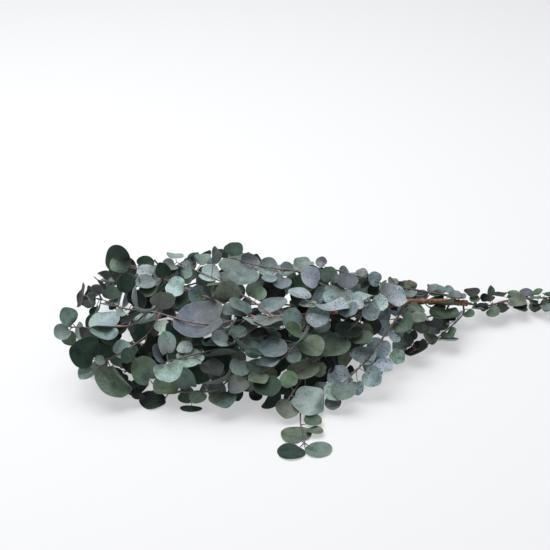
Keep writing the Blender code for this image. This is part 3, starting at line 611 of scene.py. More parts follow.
class Leaf:
    """A leaf: its root in the stem, the way it grows, the way its upper face looks, its size and stalk in mm,
    and its cup, fold and bend."""

    def __init__(self, root, along, face, size, stalk, form, flat=False):
        self.root = root
        self.along = along.normalized()
        self.face = (face - self.along * face.dot(self.along)).normalized()
        self.size = size
        self.stalk = stalk
        self.form = form
        self.flat = flat

    def turned(self, degrees, share):
        """The same leaf, rolled about its length and made smaller."""
        face = Matrix.Rotation(math.radians(degrees), 3, self.along) @ self.face
        return Leaf(self.root, self.along, face, self.size * share, self.stalk, self.form, self.flat)

    def blade_point(self, x, y):
        """The upper face at this place of a disc of radius 1, with its tip at x 1 and its root side at -1."""
        cup, fold, bend = self.form
        half = self.size / 2
        lift = cup * (x * x + y * y) + fold * abs(y) - bend * (x + 1) ** 2
        across = self.face.cross(self.along) * (half * LEAF_WIDTH * y)
        along = self.along * (self.stalk + half * (1 + x))
        spot = self.root + (along + across + self.face * (half * lift)) * MM
        if self.flat:
            spot.z = BLADE_THICKNESS
        return spot

    def solid(self, room=0.0):
        """The blade, in triangles alike on both faces, drawn out to its root. Room makes it larger."""
        bm = bmesh.new()
        sides = LARGE_SIDES if self.size >= LARGE_LEAF else SMALL_SIDES
        bmesh.ops.create_circle(bm, cap_ends=True, cap_tris=True, segments=sides, radius=1)
        grown = 1 + room / (self.size * MM / 2)
        for vert in bm.verts:
            at_root = vert.co.y < -0.99
            vert.co = self.root if at_root else self.blade_point(vert.co.y * grown, vert.co.x * grown)
        down = Vector((0, 0, -1)) if self.flat else -self.face
        bmesh.ops.translate(bm, vec=down * -room, verts=bm.verts)
        lower = bmesh.ops.extrude_face_region(bm, geom=bm.faces[:])
        for vert in lower["geom"]:
            if isinstance(vert, bmesh.types.BMVert):
                at_root = (vert.co - self.root).length < 2 * room + SAME_SPOT
                vert.co += (-self.face if at_root else down) * (BLADE_THICKNESS + 2 * room)
        bmesh.ops.triangulate(bm, faces=bm.faces)
        bmesh.ops.recalc_face_normals(bm, faces=bm.faces)
        return bm


def rooted(spot, radius, along, face, size, stalk, form, flat=False):
    """A leaf whose root is sunk into a stem of this radius at this spot."""
    stalk += radius * (1 - SUNK_SHARE) / MM
    return Leaf(spot + along * radius * SUNK_SHARE, along, face, size, stalk, form, flat)


class Grown:
    """A leaf in its place, what the test for the next ones needs, its tone, and its place in the lists."""

    def __init__(self, leaf, stem, seen):
        self.leaf = leaf
        self.stem = stem
        self.seen = seen
        self.tone = None
        self.mark = None
        self.shown = seen_at(leaf.blade_point(0, 0))
        bm = leaf.solid()
        self.low, self.high = corners_of(bm)
        self.tree = tree_of(bm)


def listed(table):
    """The leaves of a list, each as its stem's name, its measures and its tone."""
    return [(name, *pair) for name, (tones, *leaves) in table.items() for pair in zip(leaves, tones.split())]


class Branch:
    """The stems and the leaves grown on them so far."""

    def __init__(self):
        self.draw = random.Random(SEED)
        self.grown = []
        self.woody = []
        self.carriers = {}
        for number, (radii, route) in enumerate(WOODY_TUBES):
            points = [in_view(*place) for place in route]
            self.woody.append(Stem(f"woody {number}", points, *radii, sides=8))
        self.stems = {stem.name: stem for stem in self.woody}
        self.add_stems(ROUTES)

    def add_stems(self, routes):
        """Add leafy stems, each on the stem that carries it, or on the nearest of the woody ones."""
        for name, (carrier, radius, *route) in routes.items():
            points = [in_view(*place) for place in route]
            if carrier == "woody_stem":
                parent = min(self.woody, key=lambda stem: (stem.nearest(points[0]) - points[0]).length)
            else:
                parent = self.stems[carrier]
            self.stems[name] = Stem(name, parent.branch_off(radius, points), radius, radius * TIP_SHARE)
            self.carriers[name] = parent

    def clear(self, leaf, stem, filling):
        """Whether a leaf clears the surface, the outline, and the leaves and stems that are there."""
        bm = leaf.solid(CLEARANCE)
        low, high = corners_of(bm)
        places = [vert.co.copy() for vert in bm.verts]
        tree = tree_of(bm)
        if not leaf.flat and low.z < LIFT_OFF:
            return False
        if filling and not all(self.inside_outline(place) for place in places):
            return False
        if any(other is not stem and tree.overlap(other.tree) for other in self.stems.values()):
            return False
        if self.pierced(tree, leaf, stem):
            return False
        for other in self.grown:
            if any(low[k] > other.high[k] or high[k] < other.low[k] for k in range(3)):
                continue
            pair = other.stem is stem and (other.leaf.root - leaf.root).length < PAIR_ROOM
            if (tree_of(leaf.solid()) if pair else tree).overlap(other.tree):
                return False
        return not (filling and self.hides(places))

    def pierced(self, tree, leaf, stem):
        """Whether the leaf's own stem runs through its blade."""
        for a, b in zip(stem.line, stem.line[1:]):
            spot = tree.ray_cast(a, (b - a).normalized(), (b - a).length)[0]
            if spot and (spot - leaf.root).length > PIERCE_ROOM:
                return True
        return False

    def inside_outline(self, place):
        across, up = seen_at(place)
        top = edge_at(TOP_EDGE, across)
        return top is not None and edge_at(LOW_EDGE, across) <= up <= top

    def hides(self, places):
        """Whether a filling leaf would stand before one of the leaves that show."""
        count = 0
        for place in places:
            way = (place - EYE).normalized()
            if any(other.tree.ray_cast(place, way)[0] for other in self.grown if other.seen):
                count += 1
        return count > len(places) // MOST_HIDING

    def keep_if_clear(self, leaf, stem, seen):
        """Grow a leaf where there is room. One that isn't there to be seen fills, inside the outline."""
        if not self.clear(leaf, stem, not seen):
            return False
        self.grown.append(Grown(leaf, stem, seen))
        stem.leaves.append(leaf)
        return True

    def grow_seen(self, stem, across, up, size, open_share=1.0, lean=90, flat=False):
        """Grow the leaf whose blade shows at this place of the front view."""
        face = Vector((0, 0, 1)) if flat else facing(open_share, lean)
        form = [self.draw.uniform(*limits) for limits in SEEN_FORM]
        for right, higher in NUDGES:
            ray = aim_at(across + right, up + higher).normalized()
            for whole in self.reaching(stem, ray, face, size, form, flat):
                for share in SHRINKING:
                    for roll in (0,) if flat else ROLLS:
                        if self.keep_if_clear(whole.turned(roll, share), stem, True):
                            return True
        return False

    def reaching(self, stem, ray, face, size, form, flat=False):
        """The leaves that look this way and reach the line of sight from places on a stem, the best first."""
        choices = []
        for k in range(ROOT_STEPS + 1):
            reach = END_ROOM + (stem.length - 2 * END_ROOM) * k / ROOT_STEPS
            spot, _ = stem.at(reach)
            if flat:
                centre = EYE + ray * ((BLADE_THICKNESS - EYE.z) / ray.z)
            elif abs(ray.dot(face)) > LEAST_FACING:
                centre = EYE + ray * ((spot - EYE).dot(face) / ray.dot(face))
            else:
                continue
            radius = stem.radius_at(reach)
            spare = (centre - spot).length - radius - (STALK + size / 2) * MM
            cost = spare if spare > 0 else -CROWDED_COST * spare
            choices.append((cost, spot, radius, centre, max(spare, 0.0)))
        choices.sort(key=lambda choice: choice[0])
        leaves = []
        for _, spot, radius, centre, spare in choices[:ROOTS_TRIED]:
            stalk = min(STALK + spare / MM, LONGEST_STALK)
            leaves.append(rooted(spot, radius, (centre - spot).normalized(), face, size, stalk, form, flat))
        return leaves

    def fill(self, stem, spacing, first_size, last_size):
        """Grow opposite pairs along a stem, each turned a quarter from the last, where they have room."""
        draw = self.draw
        pairs = max(2, round(stem.length / (spacing * MM)))
        twist = draw.uniform(0, math.pi)
        for pair in range(pairs + 1):
            share = FIRST_PAIR + (1 - FIRST_PAIR) * pair / pairs
            reach = min(stem.length * share, stem.length - END_ROOM)
            spot, way = stem.at(reach)
            side = way.cross(Vector((0, 0, 1))).normalized()
            other = side.cross(way)
            for half in range(2):
                for smaller in FILL_SHARES:
                    turn = twist + pair * math.pi / 2 + half * math.pi + draw.gauss(0, RING_SPREAD)
                    out = side * math.cos(turn) + other * math.sin(turn)
                    along = (out + way * draw.uniform(*FORWARD)).normalized()
                    face = way * draw.uniform(*FACE_ALONG) + Vector((0, 0, 1)) * draw.uniform(*FACE_UP)
                    face += TOWARD * draw.uniform(*FACE_TOWARD) + side * draw.uniform(*FACE_ASIDE)
                    size = first_size + (last_size - first_size) * share
                    size *= draw.uniform(*SIZE_SPREAD) * smaller
                    form = [draw.uniform(*limits) for limits in FILL_FORM]
                    stalk = draw.uniform(*FILL_STALK)
                    leaf = rooted(spot, stem.radius_at(reach), along, face, size, stalk, form)
                    if self.keep_if_clear(leaf, stem, False):
                        break

    def grow_listed(self, name, measures, tone, flat=False):
        if self.grow_seen(self.stems[name], *measures, flat=flat):
            self.grown[-1].tone = tone
            self.grown[-1].mark = (name, *measures[:2])

    def grow(self):
        """Grow the resting leaves, those that show, the largest first, and then those that fill the stems."""
        for row in listed(RESTING):
            self.grow_listed(*row, flat=True)
        for row in sorted(listed(SEEN), key=lambda row: -row[1][2]):
            self.grow_listed(*row)
        for name, measures in FILLING.items():
            self.fill(self.stems[name], *measures)
        self.add_stems(LATE_ROUTES)
        for row in listed(LATE):
            self.grow_listed(*row)

    def stems_near(self, across, up, reach):
        """The leafy stems that show this near a place of the front view, in mm, the nearest first."""
        near = []
        for name in self.carriers:
            stem = self.stems[name]
            reaches = [stem.length * k / SHOWN_STEPS for k in range(SHOWN_STEPS + 1)]
            places = [seen_at(stem.at(reach)[0]) for reach in reaches]
            near.append((min(math.hypot(a - across, b - up) for a, b in places), name))
        return [self.stems[name] for gap, name in sorted(near) if gap < reach]

    def in_sight(self, grown):
        """Whether most of a leaf shows in the front view."""
        count = 0
        for place in SIGHT_PLACES:
            ray = grown.leaf.blade_point(*place) - EYE
            reach = ray.length - 2 * BLADE_THICKNESS
            others = [other for other in self.grown if other is not grown]
            if not any(other.tree.ray_cast(EYE, ray.normalized(), reach)[0] for other in others):
                count += 1
        return count >= len(SIGHT_PLACES) - 1

    def grow_front_leaves(self):
        """Grow the last leaves that show, each on the nearest stem on which it is in plain sight."""
        for across, up, size, open_share, lean, tone in FRONT_LEAVES:
            for stem in self.stems_near(across, up, FRONT_REACH)[:FRONT_STEMS]:
                if self.grow_seen(stem, across, up, size, open_share, lean):
                    if self.in_sight(self.grown[-1]):
                        self.grown[-1].tone = tone
                        break
                    self.grown.pop()
                    stem.leaves.pop()

    def close_gaps(self):
        """Grow small leaves where the front view would see the surface, save in open places."""
        for across in range(*GAP_SPAN, GAP_STEP):
            up = edge_at(LOW_EDGE, across) + GAP_MARGIN
            while up < edge_at(TOP_EDGE, across) - GAP_MARGIN:
                up += GAP_STEP
                if any(left < across < right and low < up < high for left, right, low, high in OPEN_PLACES):
                    continue
                if self.sees_surface(across, up):
                    self.grow_in_gap(across, up)

    def sees_surface(self, across, up):
        """Whether no leaf stands in this place of the front view."""
        ray = aim_at(across, up).normalized()
        for other in self.grown:
            near_across, near_up = other.shown
            if math.hypot(near_across - across, near_up - up) < other.leaf.size + other.leaf.stalk:
                if other.tree.ray_cast(EYE, ray)[0]:
                    return False
        return True

    def grow_in_gap(self, across, up):
        """Grow one small leaf from the nearest stem that has room for it."""
        ray = aim_at(across, up).normalized()
        for stem in self.stems_near(across, up, GAP_REACH)[:GAP_STEMS]:
            for smaller in GAP_SHARES:
                size = self.draw.uniform(*GAP_SIZES) * smaller
                lean = self.draw.uniform(20, 160)
                face = facing(self.draw.uniform(0.35, 0.9), lean)
                form = [self.draw.uniform(*limits) for limits in SEEN_FORM]
                for whole in self.reaching(stem, ray, face, size, form)[:GAP_ROOTS]:
                    for roll in GAP_ROLLS:
                        if self.keep_if_clear(whole.turned(roll, 1.0), stem, False):
                            # Painted shade: a dark tone stands in for the shade in the gap
                            self.grown[-1].tone = self.draw.choice(GAP_PAINTED_SHADE_TONES.split())
                            return


def tint(red, green, blue):
    """A colour given in steps of 255, as the linear values that a shader takes."""
    return tuple(((step / 255 + 0.055) / 1.055) ** 2.4 for step in (red, green, blue))


def between(start, end, share):
    return tuple(a + (b - a) * share for a, b in zip(start, end))


class FineLeaf:
    """A leaf as it shows: its own outline, waves and tones, with the place and form of the solid's leaf."""

    def __init__(self, leaf, tone, draw):
        self.leaf = leaf
        words = tone.split("/")
        self.base = [channel * draw.uniform(*TONE_SPREAD) for channel in tint(*TONES[words[0]])]
        self.end = [channel * draw.uniform(*TONE_SPREAD) for channel in tint(*TONES[words[-1]])]
        self.point = draw.uniform(*POINT)
        self.notch = draw.uniform(*NOTCH)
        self.notch_width = draw.uniform(*NOTCH_WIDTH)
        self.wave = draw.uniform(*WAVE)
        self.waves = draw.choice(WAVES)
        self.turn = draw.uniform(0, 2 * math.pi)
        self.skew = draw.uniform(*SKEW)
        self.width = draw.uniform(*WIDTH)
        self.crease = draw.uniform(*CREASE)
        self.share = 1.0
        way = draw.uniform(0, 2 * math.pi)
        self.roll = (way, draw.uniform(*ROLL_START), draw.uniform(*ROLL_TURN), ROLL_RADIUS)

    def surface(self, x, y):
        """The upper face at this place of a disc of radius 1, notched at the stalk and pointed at the tip."""
        angle = math.atan2(y, x)
        reach = math.hypot(x, y)
        edge = 1 + self.point * math.exp(-((angle / POINT_WIDTH) ** 2))
        edge -= self.notch * math.exp(-(((math.pi - abs(angle)) / self.notch_width) ** 2))
        edge += sum(depth * math.sin(count * angle + turns * self.turn) for count, turns, depth in LOBES)
        edge += self.skew * math.sin(angle + self.turn)
        edge *= self.share
        rise = self.wave * reach**3 * math.sin(self.waves * angle + self.turn) + self.crease * (abs(y) - 0.35)
        x, y, lift = self.rolled(x * edge, y * edge * self.width)
        spot = self.leaf.blade_point(x, y)
        half = self.leaf.size / 2 * MM
        if self.leaf.flat:
            spot.z = FLAT_LEAF + half * 0.05 * reach**2 * (1 + math.sin(2 * angle + self.turn))
            return spot
        return spot + self.leaf.face * (half * (rise + lift))

    def rolled(self, x, y):
        """The place on the disc and its lift, once the rim beyond the crease has rolled over."""
        way, start, turn, radius = self.roll
        beyond = x * math.cos(way) + y * math.sin(way) - start
        if beyond <= 0 or turn == 0:
            return x, y, 0.0
        most = math.radians(abs(turn))
        angle = min(beyond / radius, most)
        straight = max(beyond - radius * most, 0)
        lift = radius * (1 - math.cos(angle)) + straight * math.sin(most)
        back = radius * math.sin(angle) + straight * math.cos(most) - beyond
        return x + back * math.cos(way), y + back * math.sin(way), math.copysign(lift, turn)

    def fold(self, angle, start, turn, radius):
        """Fold the blade over on the side that lies this way in the front view, in degrees from the right."""
        way = in_plane(angle)
        side = self.leaf.face.cross(self.leaf.along)
        self.roll = (math.atan2(way.dot(side), way.dot(self.leaf.along)), start, turn, radius)

    def blade(self):
        """The blade's closed mesh, and for each point its place on the leaf and whether it is underneath."""
        bm = bmesh.new()
        rows = ROWS[0] if self.leaf.size < LARGE_LEAF else ROWS[1]
        if self.leaf.size > HUGE_LEAF or self.roll[3] < TIGHT_ROLL:
            rows = ROWS[2]
        bmesh.ops.create_grid(bm, x_segments=rows, y_segments=rows - 2, size=1)
        place = bm.verts.layers.float_vector.new("place")
        for vert in bm.verts:
            a, b = vert.co.x, vert.co.y
            x, y = a * math.sqrt(1 - b * b / 2), b * math.sqrt(1 - a * a / 2)
            vert[place] = (x, y, 0)
            vert.co = self.surface(x, y)
        lower = bmesh.ops.extrude_face_region(bm, geom=bm.faces[:])
        down = Vector((0, 0, -1)) if self.leaf.flat else -self.leaf.face
        for vert in lower["geom"]:
            if isinstance(vert, bmesh.types.BMVert):
                x, y, _ = vert[place]
                vert.co += down * (FINE_THICKNESS * (1 - 0.4 * (x * x + y * y)))
                vert[place] = (x, y, 1)
        bmesh.ops.recalc_face_normals(bm, faces=bm.faces)
        return bm, [tuple(vert[place]) for vert in bm.verts]

    def tone_at(self, x):
        return between(self.base, self.end, min(max((x + 0.3) / 0.9, 0.0), 1.0))

    def stalk(self, start):
        """The stalk, from the stem's middle to just under the blade."""
        end = self.surface(STALK_REACH, 0) + self.leaf.face * (-0.6 * FINE_THICKNESS)
        way = end - start
        thick = STALK_RADIUS * math.sqrt(self.leaf.size / MIDDLE_LEAF)
        bm = bmesh.new()
        place = Matrix.Translation((start + end) / 2) @ way.to_track_quat("Z", "Y").to_matrix().to_4x4()
        wide, narrow = [thick * share for share in STALK_ENDS]
        bmesh.ops.create_cone(bm, cap_ends=True, segments=STALK_SIDES, radius1=wide, radius2=narrow,
                              depth=way.length, matrix=place)
        return bm


class Coat:
    """The mesh of one leafy stem as it is put together, with the tone, side and leaf place of each point."""

    def __init__(self):
        self.bm = bmesh.new()
        self.tones = []
        self.undersides = []
        self.places = []

    def add(self, piece, finish, tones, places):
        """Add a piece's mesh with this finish, the tones of its points, and their places on the leaf."""
        for face in piece.faces:
            face.material_index = finish
            face.smooth = True
        take_in(self.bm, mesh_of(piece, "piece"))
        self.tones.extend(tones)
        self.places.extend((0.5 + x / 2, 0.5 + y / 2) for x, y, _ in places)
        self.undersides.extend(under for _, _, under in places)

    def add_twig(self, piece, tones):
        self.add(piece, 1, tones, [(0, 0, 0)] * len(tones))

    def made(self, name, finishes):
        """The finished object."""
        mesh = mesh_of(self.bm, name)
        for finish in finishes:
            mesh.materials.append(finish)
        tone = mesh.attributes.new("tone", "FLOAT_COLOR", "POINT")
        tone.data.foreach_set("color", [channel for colour in self.tones for channel in (*colour, 1.0)])
        under = mesh.attributes.new("underside", "FLOAT", "POINT")
        under.data.foreach_set("value", self.undersides)
        blade = mesh.uv_layers.new(name="blade")
        for loop in mesh.loops:
            blade.data[loop.index].uv = self.places[loop.vertex_index]
        mesh.set_sharp_from_angle(angle=math.radians(LEAF_SHARP))
        return linked(name, mesh)


def swollen(swelling, gaps):
    """How much thicker a stem is this far from its knots."""
    most, reach = swelling
    return max([most * math.exp(-((gap / reach) ** 2)) for gap in gaps] or [0])


class Twig:
    """A leafy stem's fine line, from inside what carries it to its tip, with knots where its leaves stand."""

    def __init__(self, stem, carrier):
        self.stem = stem
        self.line = smooth_route([carrier.nearest(stem.route[0]), *stem.route[1:]], FINE_STEPS)
        self.steps = lengths_along(self.line)
        self.knots = [self.reach_of(leaf.root) for leaf in stem.leaves]

    def nearest(self, place):
        return min(range(len(self.line)), key=lambda k: (self.line[k] - place).length)

    def reach_of(self, place):
        return self.steps[self.nearest(place)]

    def radius_at(self, reach):
        """The radius, with a collar at the start, a knot at each leaf, and a thin tip."""
        length = self.steps[-1]
        radius = self.stem.radius_at(self.stem.length * reach / length)
        swelling = COLLAR[0] * math.exp(-reach / COLLAR[1])
        swelling += swollen(KNOT, [reach - knot for knot in self.knots])
        return radius * (1 + swelling) * min(1.0, TIP_END[0] + (length - reach) / TIP_END[1])

    def tube(self):
        radii = [self.radius_at(reach) for reach in self.steps]
        return tube_along(self.stem.name, self.line, radii, TWIG_SIDES)

    def tone_at(self, place):
        start = TWIG_START if self.stem.name in PINK_STEMS else GREY_TWIG_START
        return between(tint(*start), tint(*TWIG_END), self.reach_of(place) / self.steps[-1])


class Value:
    """A value in a material, which can be reckoned with."""

    def __init__(self, finish, socket):
        self.finish = finish
        self.socket = socket

    def reckon(self, work, other=0.5):
        return self.finish.node("Math", {0: self, 1: other}, "Value", operation=work)

    def __add__(self, other):
        return self.reckon("ADD", other)

    def __sub__(self, other):
        return self.reckon("SUBTRACT", other)

    def __mul__(self, other):
        return self.reckon("MULTIPLY", other)


class Finish:
    """A material as it is mixed, step by step."""

    def __init__(self, name):
        self.material = bpy.data.materials.new(name)
        self.material.use_nodes = True
        self.tree = self.material.node_tree
        self.shader = self.tree.nodes["Principled BSDF"]

    def join(self, source, target):
        """Set an input to a number, a colour or three scales, or join it to another value."""
        if isinstance(source, Value):
            self.tree.links.new(source.socket, target)
        elif isinstance(source, tuple):
            target.default_value = (*source, 1.0)
        else:
            target.default_value = source

    def node(self, kind, inputs, output, **settings):
        """What a new node gives, with these settings and inputs."""
        made = self.tree.nodes.new("ShaderNode" + kind)
        for name, setting in settings.items():
            setattr(made, name, setting)
        for name, source in inputs.items():
            self.join(source, made.inputs[name])
        return Value(self, made.outputs[output])

    def give(self, name, source):
        """Set or join an input of the material's own shader."""
        self.join(source, self.shader.inputs[name])

    def attribute(self, name, output):
        return self.node("Attribute", {}, output, attribute_name=name)

    def grain(self, scale, detail=3.0, rough=0.5, stretch=None):
        """Soft noise, drawn out where stretch gives a scale along each axis."""
        places = self.node("TexCoord", {}, "Object")
        if stretch:
            places = self.node("Mapping", {"Vector": places, "Scale": Vector(stretch)}, "Vector")
        inputs = {"Vector": places, "Scale": scale, "Detail": detail, "Roughness": rough}
        return self.node("TexNoise", inputs, "Fac")

    def ranged(self, value, low, high, start=0.0, end=1.0):
        inputs = {"Value": value, "From Min": low, "From Max": high, "To Min": start, "To Max": end}
        return self.node("MapRange", inputs, "Result", interpolation_type="SMOOTHSTEP")

    def blend(self, share, under, over, kind="MIX"):
        return self.node("Mix", {0: share, 6: under, 7: over}, 2, data_type="RGBA", blend_type=kind)

    def bump(self, height, strength, depth):
        inputs = {"Strength": strength, "Distance": depth, "Height": height}
        self.give("Normal", self.node("Bump", inputs, "Normal"))


def leaf_finish(name, bloom, pits, gloss):
    """Waxy leaf: its tone, cloudy where the bloom is rubbed, with specks and pale veins, a painted highlight
    along the rim, and painted shade toward the stalk.
    """
    made = Finish(name)
    tone = made.attribute("tone", "Color")
    blade = made.node("UVMap", {}, "UV", uv_map="blade")
    along = made.node("SeparateXYZ", {"Vector": blade}, "X") - 0.5
    side = (made.node("SeparateXYZ", {"Vector": blade}, "Y") - 0.5).reckon("ABSOLUTE")
    reach = (along * along + side * side).reckon("SQRT")

    lightness = made.node("RGBToBW", {"Color": tone}, "Val")
    bloom = made.ranged(lightness, 0.03, 0.30, 0.04, bloom)
    cloud = made.grain(95, 5.0, 0.65)
    rubbed = made.ranged(cloud, 0.48, 0.68)
    worn = made.blend(1.0, tone, (0.42, 0.50, 0.43), "MULTIPLY")
    colour = made.blend(rubbed * 0.75, tone, worn)
    colour = made.blend(made.ranged(cloud, 0.5, 0.3) * bloom, colour, (0.40, 0.46, 0.46))
    speck = made.grain(620, 3.0, 0.7)
    colour = made.blend(made.ranged(speck, 0.54, 0.66) * (bloom * 0.6), colour, (0.60, 0.64, 0.63))
    pit = made.grain(520, 2.0, 0.6)
    colour = made.blend(made.ranged(pit, 0.56, 0.66) * (bloom + pits), colour, (0.03, 0.04, 0.036))

    slant = along - side * 0.9 + made.grain(60, 2.0) * 0.12
    comb = ((slant * 6).reckon("FRACT") - 0.5).reckon("ABSOLUTE")
    veins = made.ranged(comb, 0.09, 0.01) * made.ranged(reach, 0.46, 0.30)
    midrib = made.ranged(side, 0.018, 0.005) * made.ranged(along, 0.42, -0.1)
    # Painted highlight: a pale band along the rim, where the edge would catch the light
    rim = made.ranged(reach, 0.47, 0.5)
    pale = made.blend(0.3, tone, (0.42, 0.46, 0.40))
    for mark, strength in ((veins, 0.10), (midrib, 0.22), (rim, 0.40)):
        colour = made.blend(mark * strength, colour, pale)
    # Painted shade: each leaf is darker toward its stalk
    painted_root_shade = made.ranged(along + 0.5, 0.55, 0.0, 0.0, 0.35)
    colour = made.blend(painted_root_shade, colour, (0.02, 0.03, 0.026))
    dull = made.blend(0.35, colour, (0.24, 0.28, 0.26))

    made.give("Base Color", made.blend(made.attribute("underside", "Fac"), colour, dull))
    made.give("Roughness", rubbed * -0.18 + gloss)
    made.give("Sheen Weight", 0.04)
    made.give("Sheen Roughness", 0.45)
    made.give("Specular IOR Level", made.ranged(lightness, 0.02, 0.25, 0.10, 0.42))
    made.bump(midrib * -0.7 + veins * -0.25 + made.grain(260, 3.0) * 1.2 + speck * 0.3, 0.6, 0.5 * MM)
    return made.material


def twig_finish():
    """Thin young bark, dull pink and grey, with a fine skin."""
    made = Finish("thin_twig_bark")
    cloud = made.grain(160, 4.0, 0.6)
    fleck = made.grain(1200, 2.0)
    colour = made.blend(made.ranged(cloud, 0.40, 0.68), made.attribute("tone", "Color"), (0.12, 0.09, 0.088))
    colour = made.blend(made.ranged(fleck, 0.58, 0.68) * 0.5, colour, (0.50, 0.44, 0.40))
    made.give("Base Color", colour)
    made.give("Roughness", made.ranged(cloud, 0.3, 0.7, 0.5, 0.72))
    made.bump(fleck + cloud, 0.4, 0.2 * MM)
    return made.material


def bark_finish():
    """Orange-brown bark with long fibres and small pale pores, and the paler ringed wood of the cut end."""
    made = Finish("streaked_brown_bark")
    fibre = made.grain(1.0, 4.0, 0.6, (55, 420, 420))
    patch = made.grain(45, 3.0)
    pore = made.grain(1.0, 1.0, 0.5, (420, 900, 900))
    colour = made.blend(made.ranged(fibre, 0.34, 0.66), tint(74, 52, 40), tint(160, 112, 80))
    colour = made.blend(made.ranged(patch, 0.46, 0.62) * 0.7, colour, tint(96, 74, 58))
    colour = made.blend(made.ranged(pore, 0.64, 0.72) * 0.7, colour, tint(222, 186, 146))
    ring = made.attribute("ring", "Fac")
    rings = made.ranged((ring * 26).reckon("SINE"), -1, 1)
    wood = made.blend(rings, tint(226, 200, 160), tint(196, 162, 118))
    wood = made.blend(made.ranged(ring, 0.16, 0.08), wood, tint(120, 84, 56))
    wood = made.blend(made.ranged(ring, 0.84, 0.93), wood, tint(110, 66, 42))
    made.give("Base Color", made.blend(made.attribute("cut", "Fac"), colour, wood))
    made.give("Roughness", made.ranged(fibre, 0.3, 0.7, 0.45, 0.7))
    made.bump(fibre + pore * 0.4, 0.6, 0.35 * MM)
    return made.material


def woody_piece(branch, bark):
    """The thick stem and its forks, run together in one skin, with collars where the leafy stems leave it."""
    thick = branch.woody[0]
    bm = bmesh.new()
    for stem in branch.woody:
        line = smooth_route(stem.route, FINE_STEPS)
        carried = [name for name, carrier in branch.carriers.items() if carrier is stem]
        starts = [branch.stems[name].route[0] for name in carried]
        collars = [min(line, key=lambda spot: (spot - start).length) for start in starts]
        share = BARK_SHARE if stem is thick else FORK_SHARE
        radii = []
        for spot, reach in zip(line, lengths_along(line)):
            swelling = swollen(BARK_COLLAR, [(spot - collar).length for collar in collars])
            radii.append(stem.radius_at(reach) * (1 + swelling) * share)
        take_in(bm, mesh_of(tube_along(stem.name, line, radii, BARK_SIDES), "tube"))
    draft = mesh_of(bm, "woody_bark")
    thing = linked("woody_bark", draft)
    skin = thing.modifiers.new("Skin", "REMESH")
    skin.mode = "VOXEL"
    skin.voxel_size = SKIN_GRAIN
    thing.data = baked(thing)
    thing.modifiers.clear()
    bpy.data.meshes.remove(draft)
    start, way = thick.at(0.0)
    cuts, rings = [], []
    bm = bmesh.new()
    bm.from_mesh(thing.data)
    inner = [vert for vert in bm.verts if (vert.co - start).dot(way) > CUT_EDGE]
    for _ in range(SMOOTHINGS):
        bmesh.ops.smooth_vert(bm, verts=inner, factor=0.5, use_axis_x=True, use_axis_y=True, use_axis_z=True)
    bm.normal_update()
    for vert in bm.verts:
        spot = vert.co
        deep = (spot - start).dot(way)
        aside = (spot - start - way * deep).length / thick.radius_at(0)
        cuts.append(1.0 if deep < CUT_DEPTH and aside < 1.0 else 0.0)
        rings.append(min(aside, 1.0))
        ridge = noise.noise(spot * RIDGE_GRAIN)
        lump = noise.noise(spot * LUMP_GRAIN)
        if deep > CUT_EDGE:
            vert.co += vert.normal * (ridge * RIDGE_DEPTH + lump * LUMP_DEPTH)
    for face in bm.faces:
        face.smooth = True
    bm.to_mesh(thing.data)
    bm.free()
    for name, values in (("cut", cuts), ("ring", rings)):
        thing.data.attributes.new(name, "FLOAT", "POINT").data.foreach_set("value", values)
    thing.data.set_sharp_from_angle(angle=math.radians(BARK_SHARP))
    thing.data.materials.clear()
    thing.data.materials.append(bark)
    return thing


def fitted(leaf, folded, placed):
    """The largest mesh of a leaf that clears those placed, which it joins, and its points' places."""
    for share in FITTING_SHARES:
        leaf.share = share
        if share < 0.9 and not folded:
            way, start, turn, radius = leaf.roll
            leaf.roll = (way, start, turn * 0.5, radius)
        bm, places = leaf.blade()
        low, high = corners_of(bm)
        tree = BVHTree.FromBMesh(bm)
        near = [past for past, least, most in placed
                if all(low[k] <= most[k] and high[k] >= least[k] for k in range(3))]
        if share == FITTING_SHARES[-1] or not any(tree.overlap(past) for past in near):
            placed.append((tree, low, high))
            return bm, places
        bm.free()


def dress(branch, finishes, twig_bark):
    """Every leafy stem as it shows, each leaf no larger than its neighbours leave room for."""
    draw = random.Random(SEED + 2)
    placed = []
    fine = {name: [] for name in branch.carriers}
    for other in branch.grown:
        name = other.stem.name
        drawn = draw.choice(STEM_TONES[name].split())
        leaf = FineLeaf(other.leaf, other.tone or drawn, draw)
        open_share = max(other.leaf.face.dot(TOWARD), 0.0)
        # Painted shade and light: filling leaves are darkened a little, and leaves that show are darker edge
        # on and lighter as they face the viewer
        strength = EDGE_ON_PAINTED_SHADE + FACING_PAINTED_LIGHT * open_share**2 if other.seen else INNER_PAINTED_SHADE
        leaf.base, leaf.end = [[channel * strength for channel in tone] for tone in (leaf.base, leaf.end)]
        folded = other.mark in FOLDS
        if folded:
            leaf.fold(*FOLDS[other.mark])
        fine[name].append((leaf, *fitted(leaf, folded, placed)))
    for name, leaves in fine.items():
        twig = Twig(branch.stems[name], branch.carriers[name])
        coat = Coat()
        tube = twig.tube()
        coat.add_twig(tube, [twig.tone_at(vert.co) for vert in tube.verts])
        for leaf, bm, places in leaves:
            coat.add(bm, 0, [leaf.tone_at(x) for x, _, _ in places], places)
            stalk = leaf.stalk(twig.line[twig.nearest(leaf.leaf.root)])
            shade = between(twig.tone_at(leaf.leaf.root), leaf.base, STALK_SHADE)
            coat.add_twig(stalk, [shade] * len(stalk.verts))
        group = slot_of(name)
        thing = coat.made(name.replace("_stem", "") + "_shoot", (finishes[group], twig_bark))
        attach(thing, "root")
        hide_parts(name)


def slot_of(name):
    if name in OLIVE_STEMS:
        return "leaf_olive"
    return "leaf_blue" if name in BLUE_STEMS else "leaf_mint"


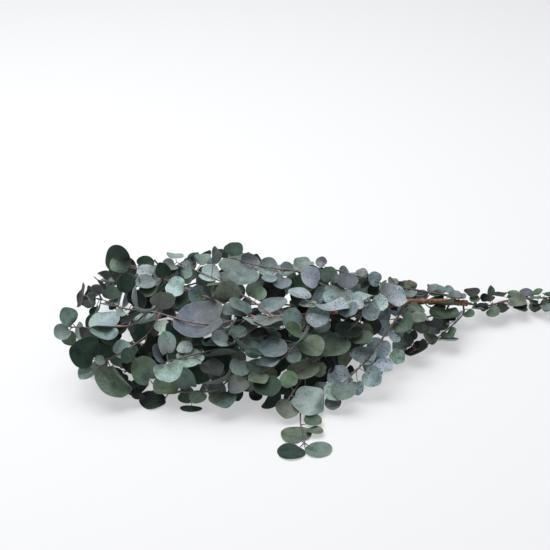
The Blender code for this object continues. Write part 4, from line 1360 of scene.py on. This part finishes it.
def lay_floor():
    """The plain white surface, which glows faintly so that the shadows on it stay light."""
    bm = bmesh.new()
    bmesh.ops.create_grid(bm, x_segments=1, y_segments=1, size=FLOOR_SIZE)
    bmesh.ops.translate(bm, vec=(0, 0, -FLOOR_DEPTH), verts=bm.verts)
    floor = linked("floor", mesh_of(bm, "floor"))
    paper = Finish("white_paper")
    paper.give("Base Color", (0.40, 0.40, 0.407))
    paper.give("Roughness", 0.9)
    paper.give("Emission Color", (0.985, 0.985, 1.0))
    paper.give("Emission Strength", 0.44)
    floor.data.materials.append(paper.material)


def hang_softbox():
    """One soft square light above the branch, aimed at its middle."""
    lamp = bpy.data.lights.new("overhead softbox", "AREA")
    lamp.shape = "SQUARE"
    lamp.size = LAMP_SIZE
    lamp.energy = LAMP_POWER
    lamp.color = (0.985, 0.995, 1.0)
    holder = linked("overhead softbox", lamp)
    holder.location = LAMP_PLACE
    holder.rotation_euler = (LAMP_TARGET - LAMP_PLACE).to_track_quat("-Z", "Y").to_euler()


def light_room():
    world = bpy.data.worlds.new("soft white room")
    world.use_nodes = True
    background = world.node_tree.nodes["Background"]
    background.inputs["Color"].default_value = (0.96, 0.97, 1.0, 1.0)
    background.inputs["Strength"].default_value = ROOM_STRENGTH
    bpy.context.scene.world = world


def set_camera():
    lens = bpy.data.cameras.new("front view")
    lens.sensor_width = SENSOR_WIDTH
    lens.lens = SENSOR_WIDTH * EYE_DISTANCE / VIEW_WIDTH
    lens.clip_start = 0.05
    holder = linked("front view", lens)
    holder.location = EYE
    holder.rotation_euler = (-TOWARD).to_track_quat("-Z", "Y").to_euler()
    bpy.context.scene.camera = holder


branch = Branch()
branch.grow()
branch.draw = random.Random(SEED + 1)
branch.grow_front_leaves()
branch.close_gaps()

finishes = {
    "leaf_mint": leaf_finish("waxy_mint_leaf", 0.50, 0.05, 0.56),
    "leaf_olive": leaf_finish("waxy_olive_leaf", 0.25, 0.10, 0.50),
    "leaf_blue": leaf_finish("waxy_blue_leaf", 0.60, 0.30, 0.58),
}
dress(branch, finishes, twig_finish())

bark = woody_piece(branch, bark_finish())
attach(bark, "root")
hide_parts("woody_stem")

lay_floor()
hang_softbox()
light_room()
bpy.context.scene.view_settings.view_transform = "Standard"
set_camera()
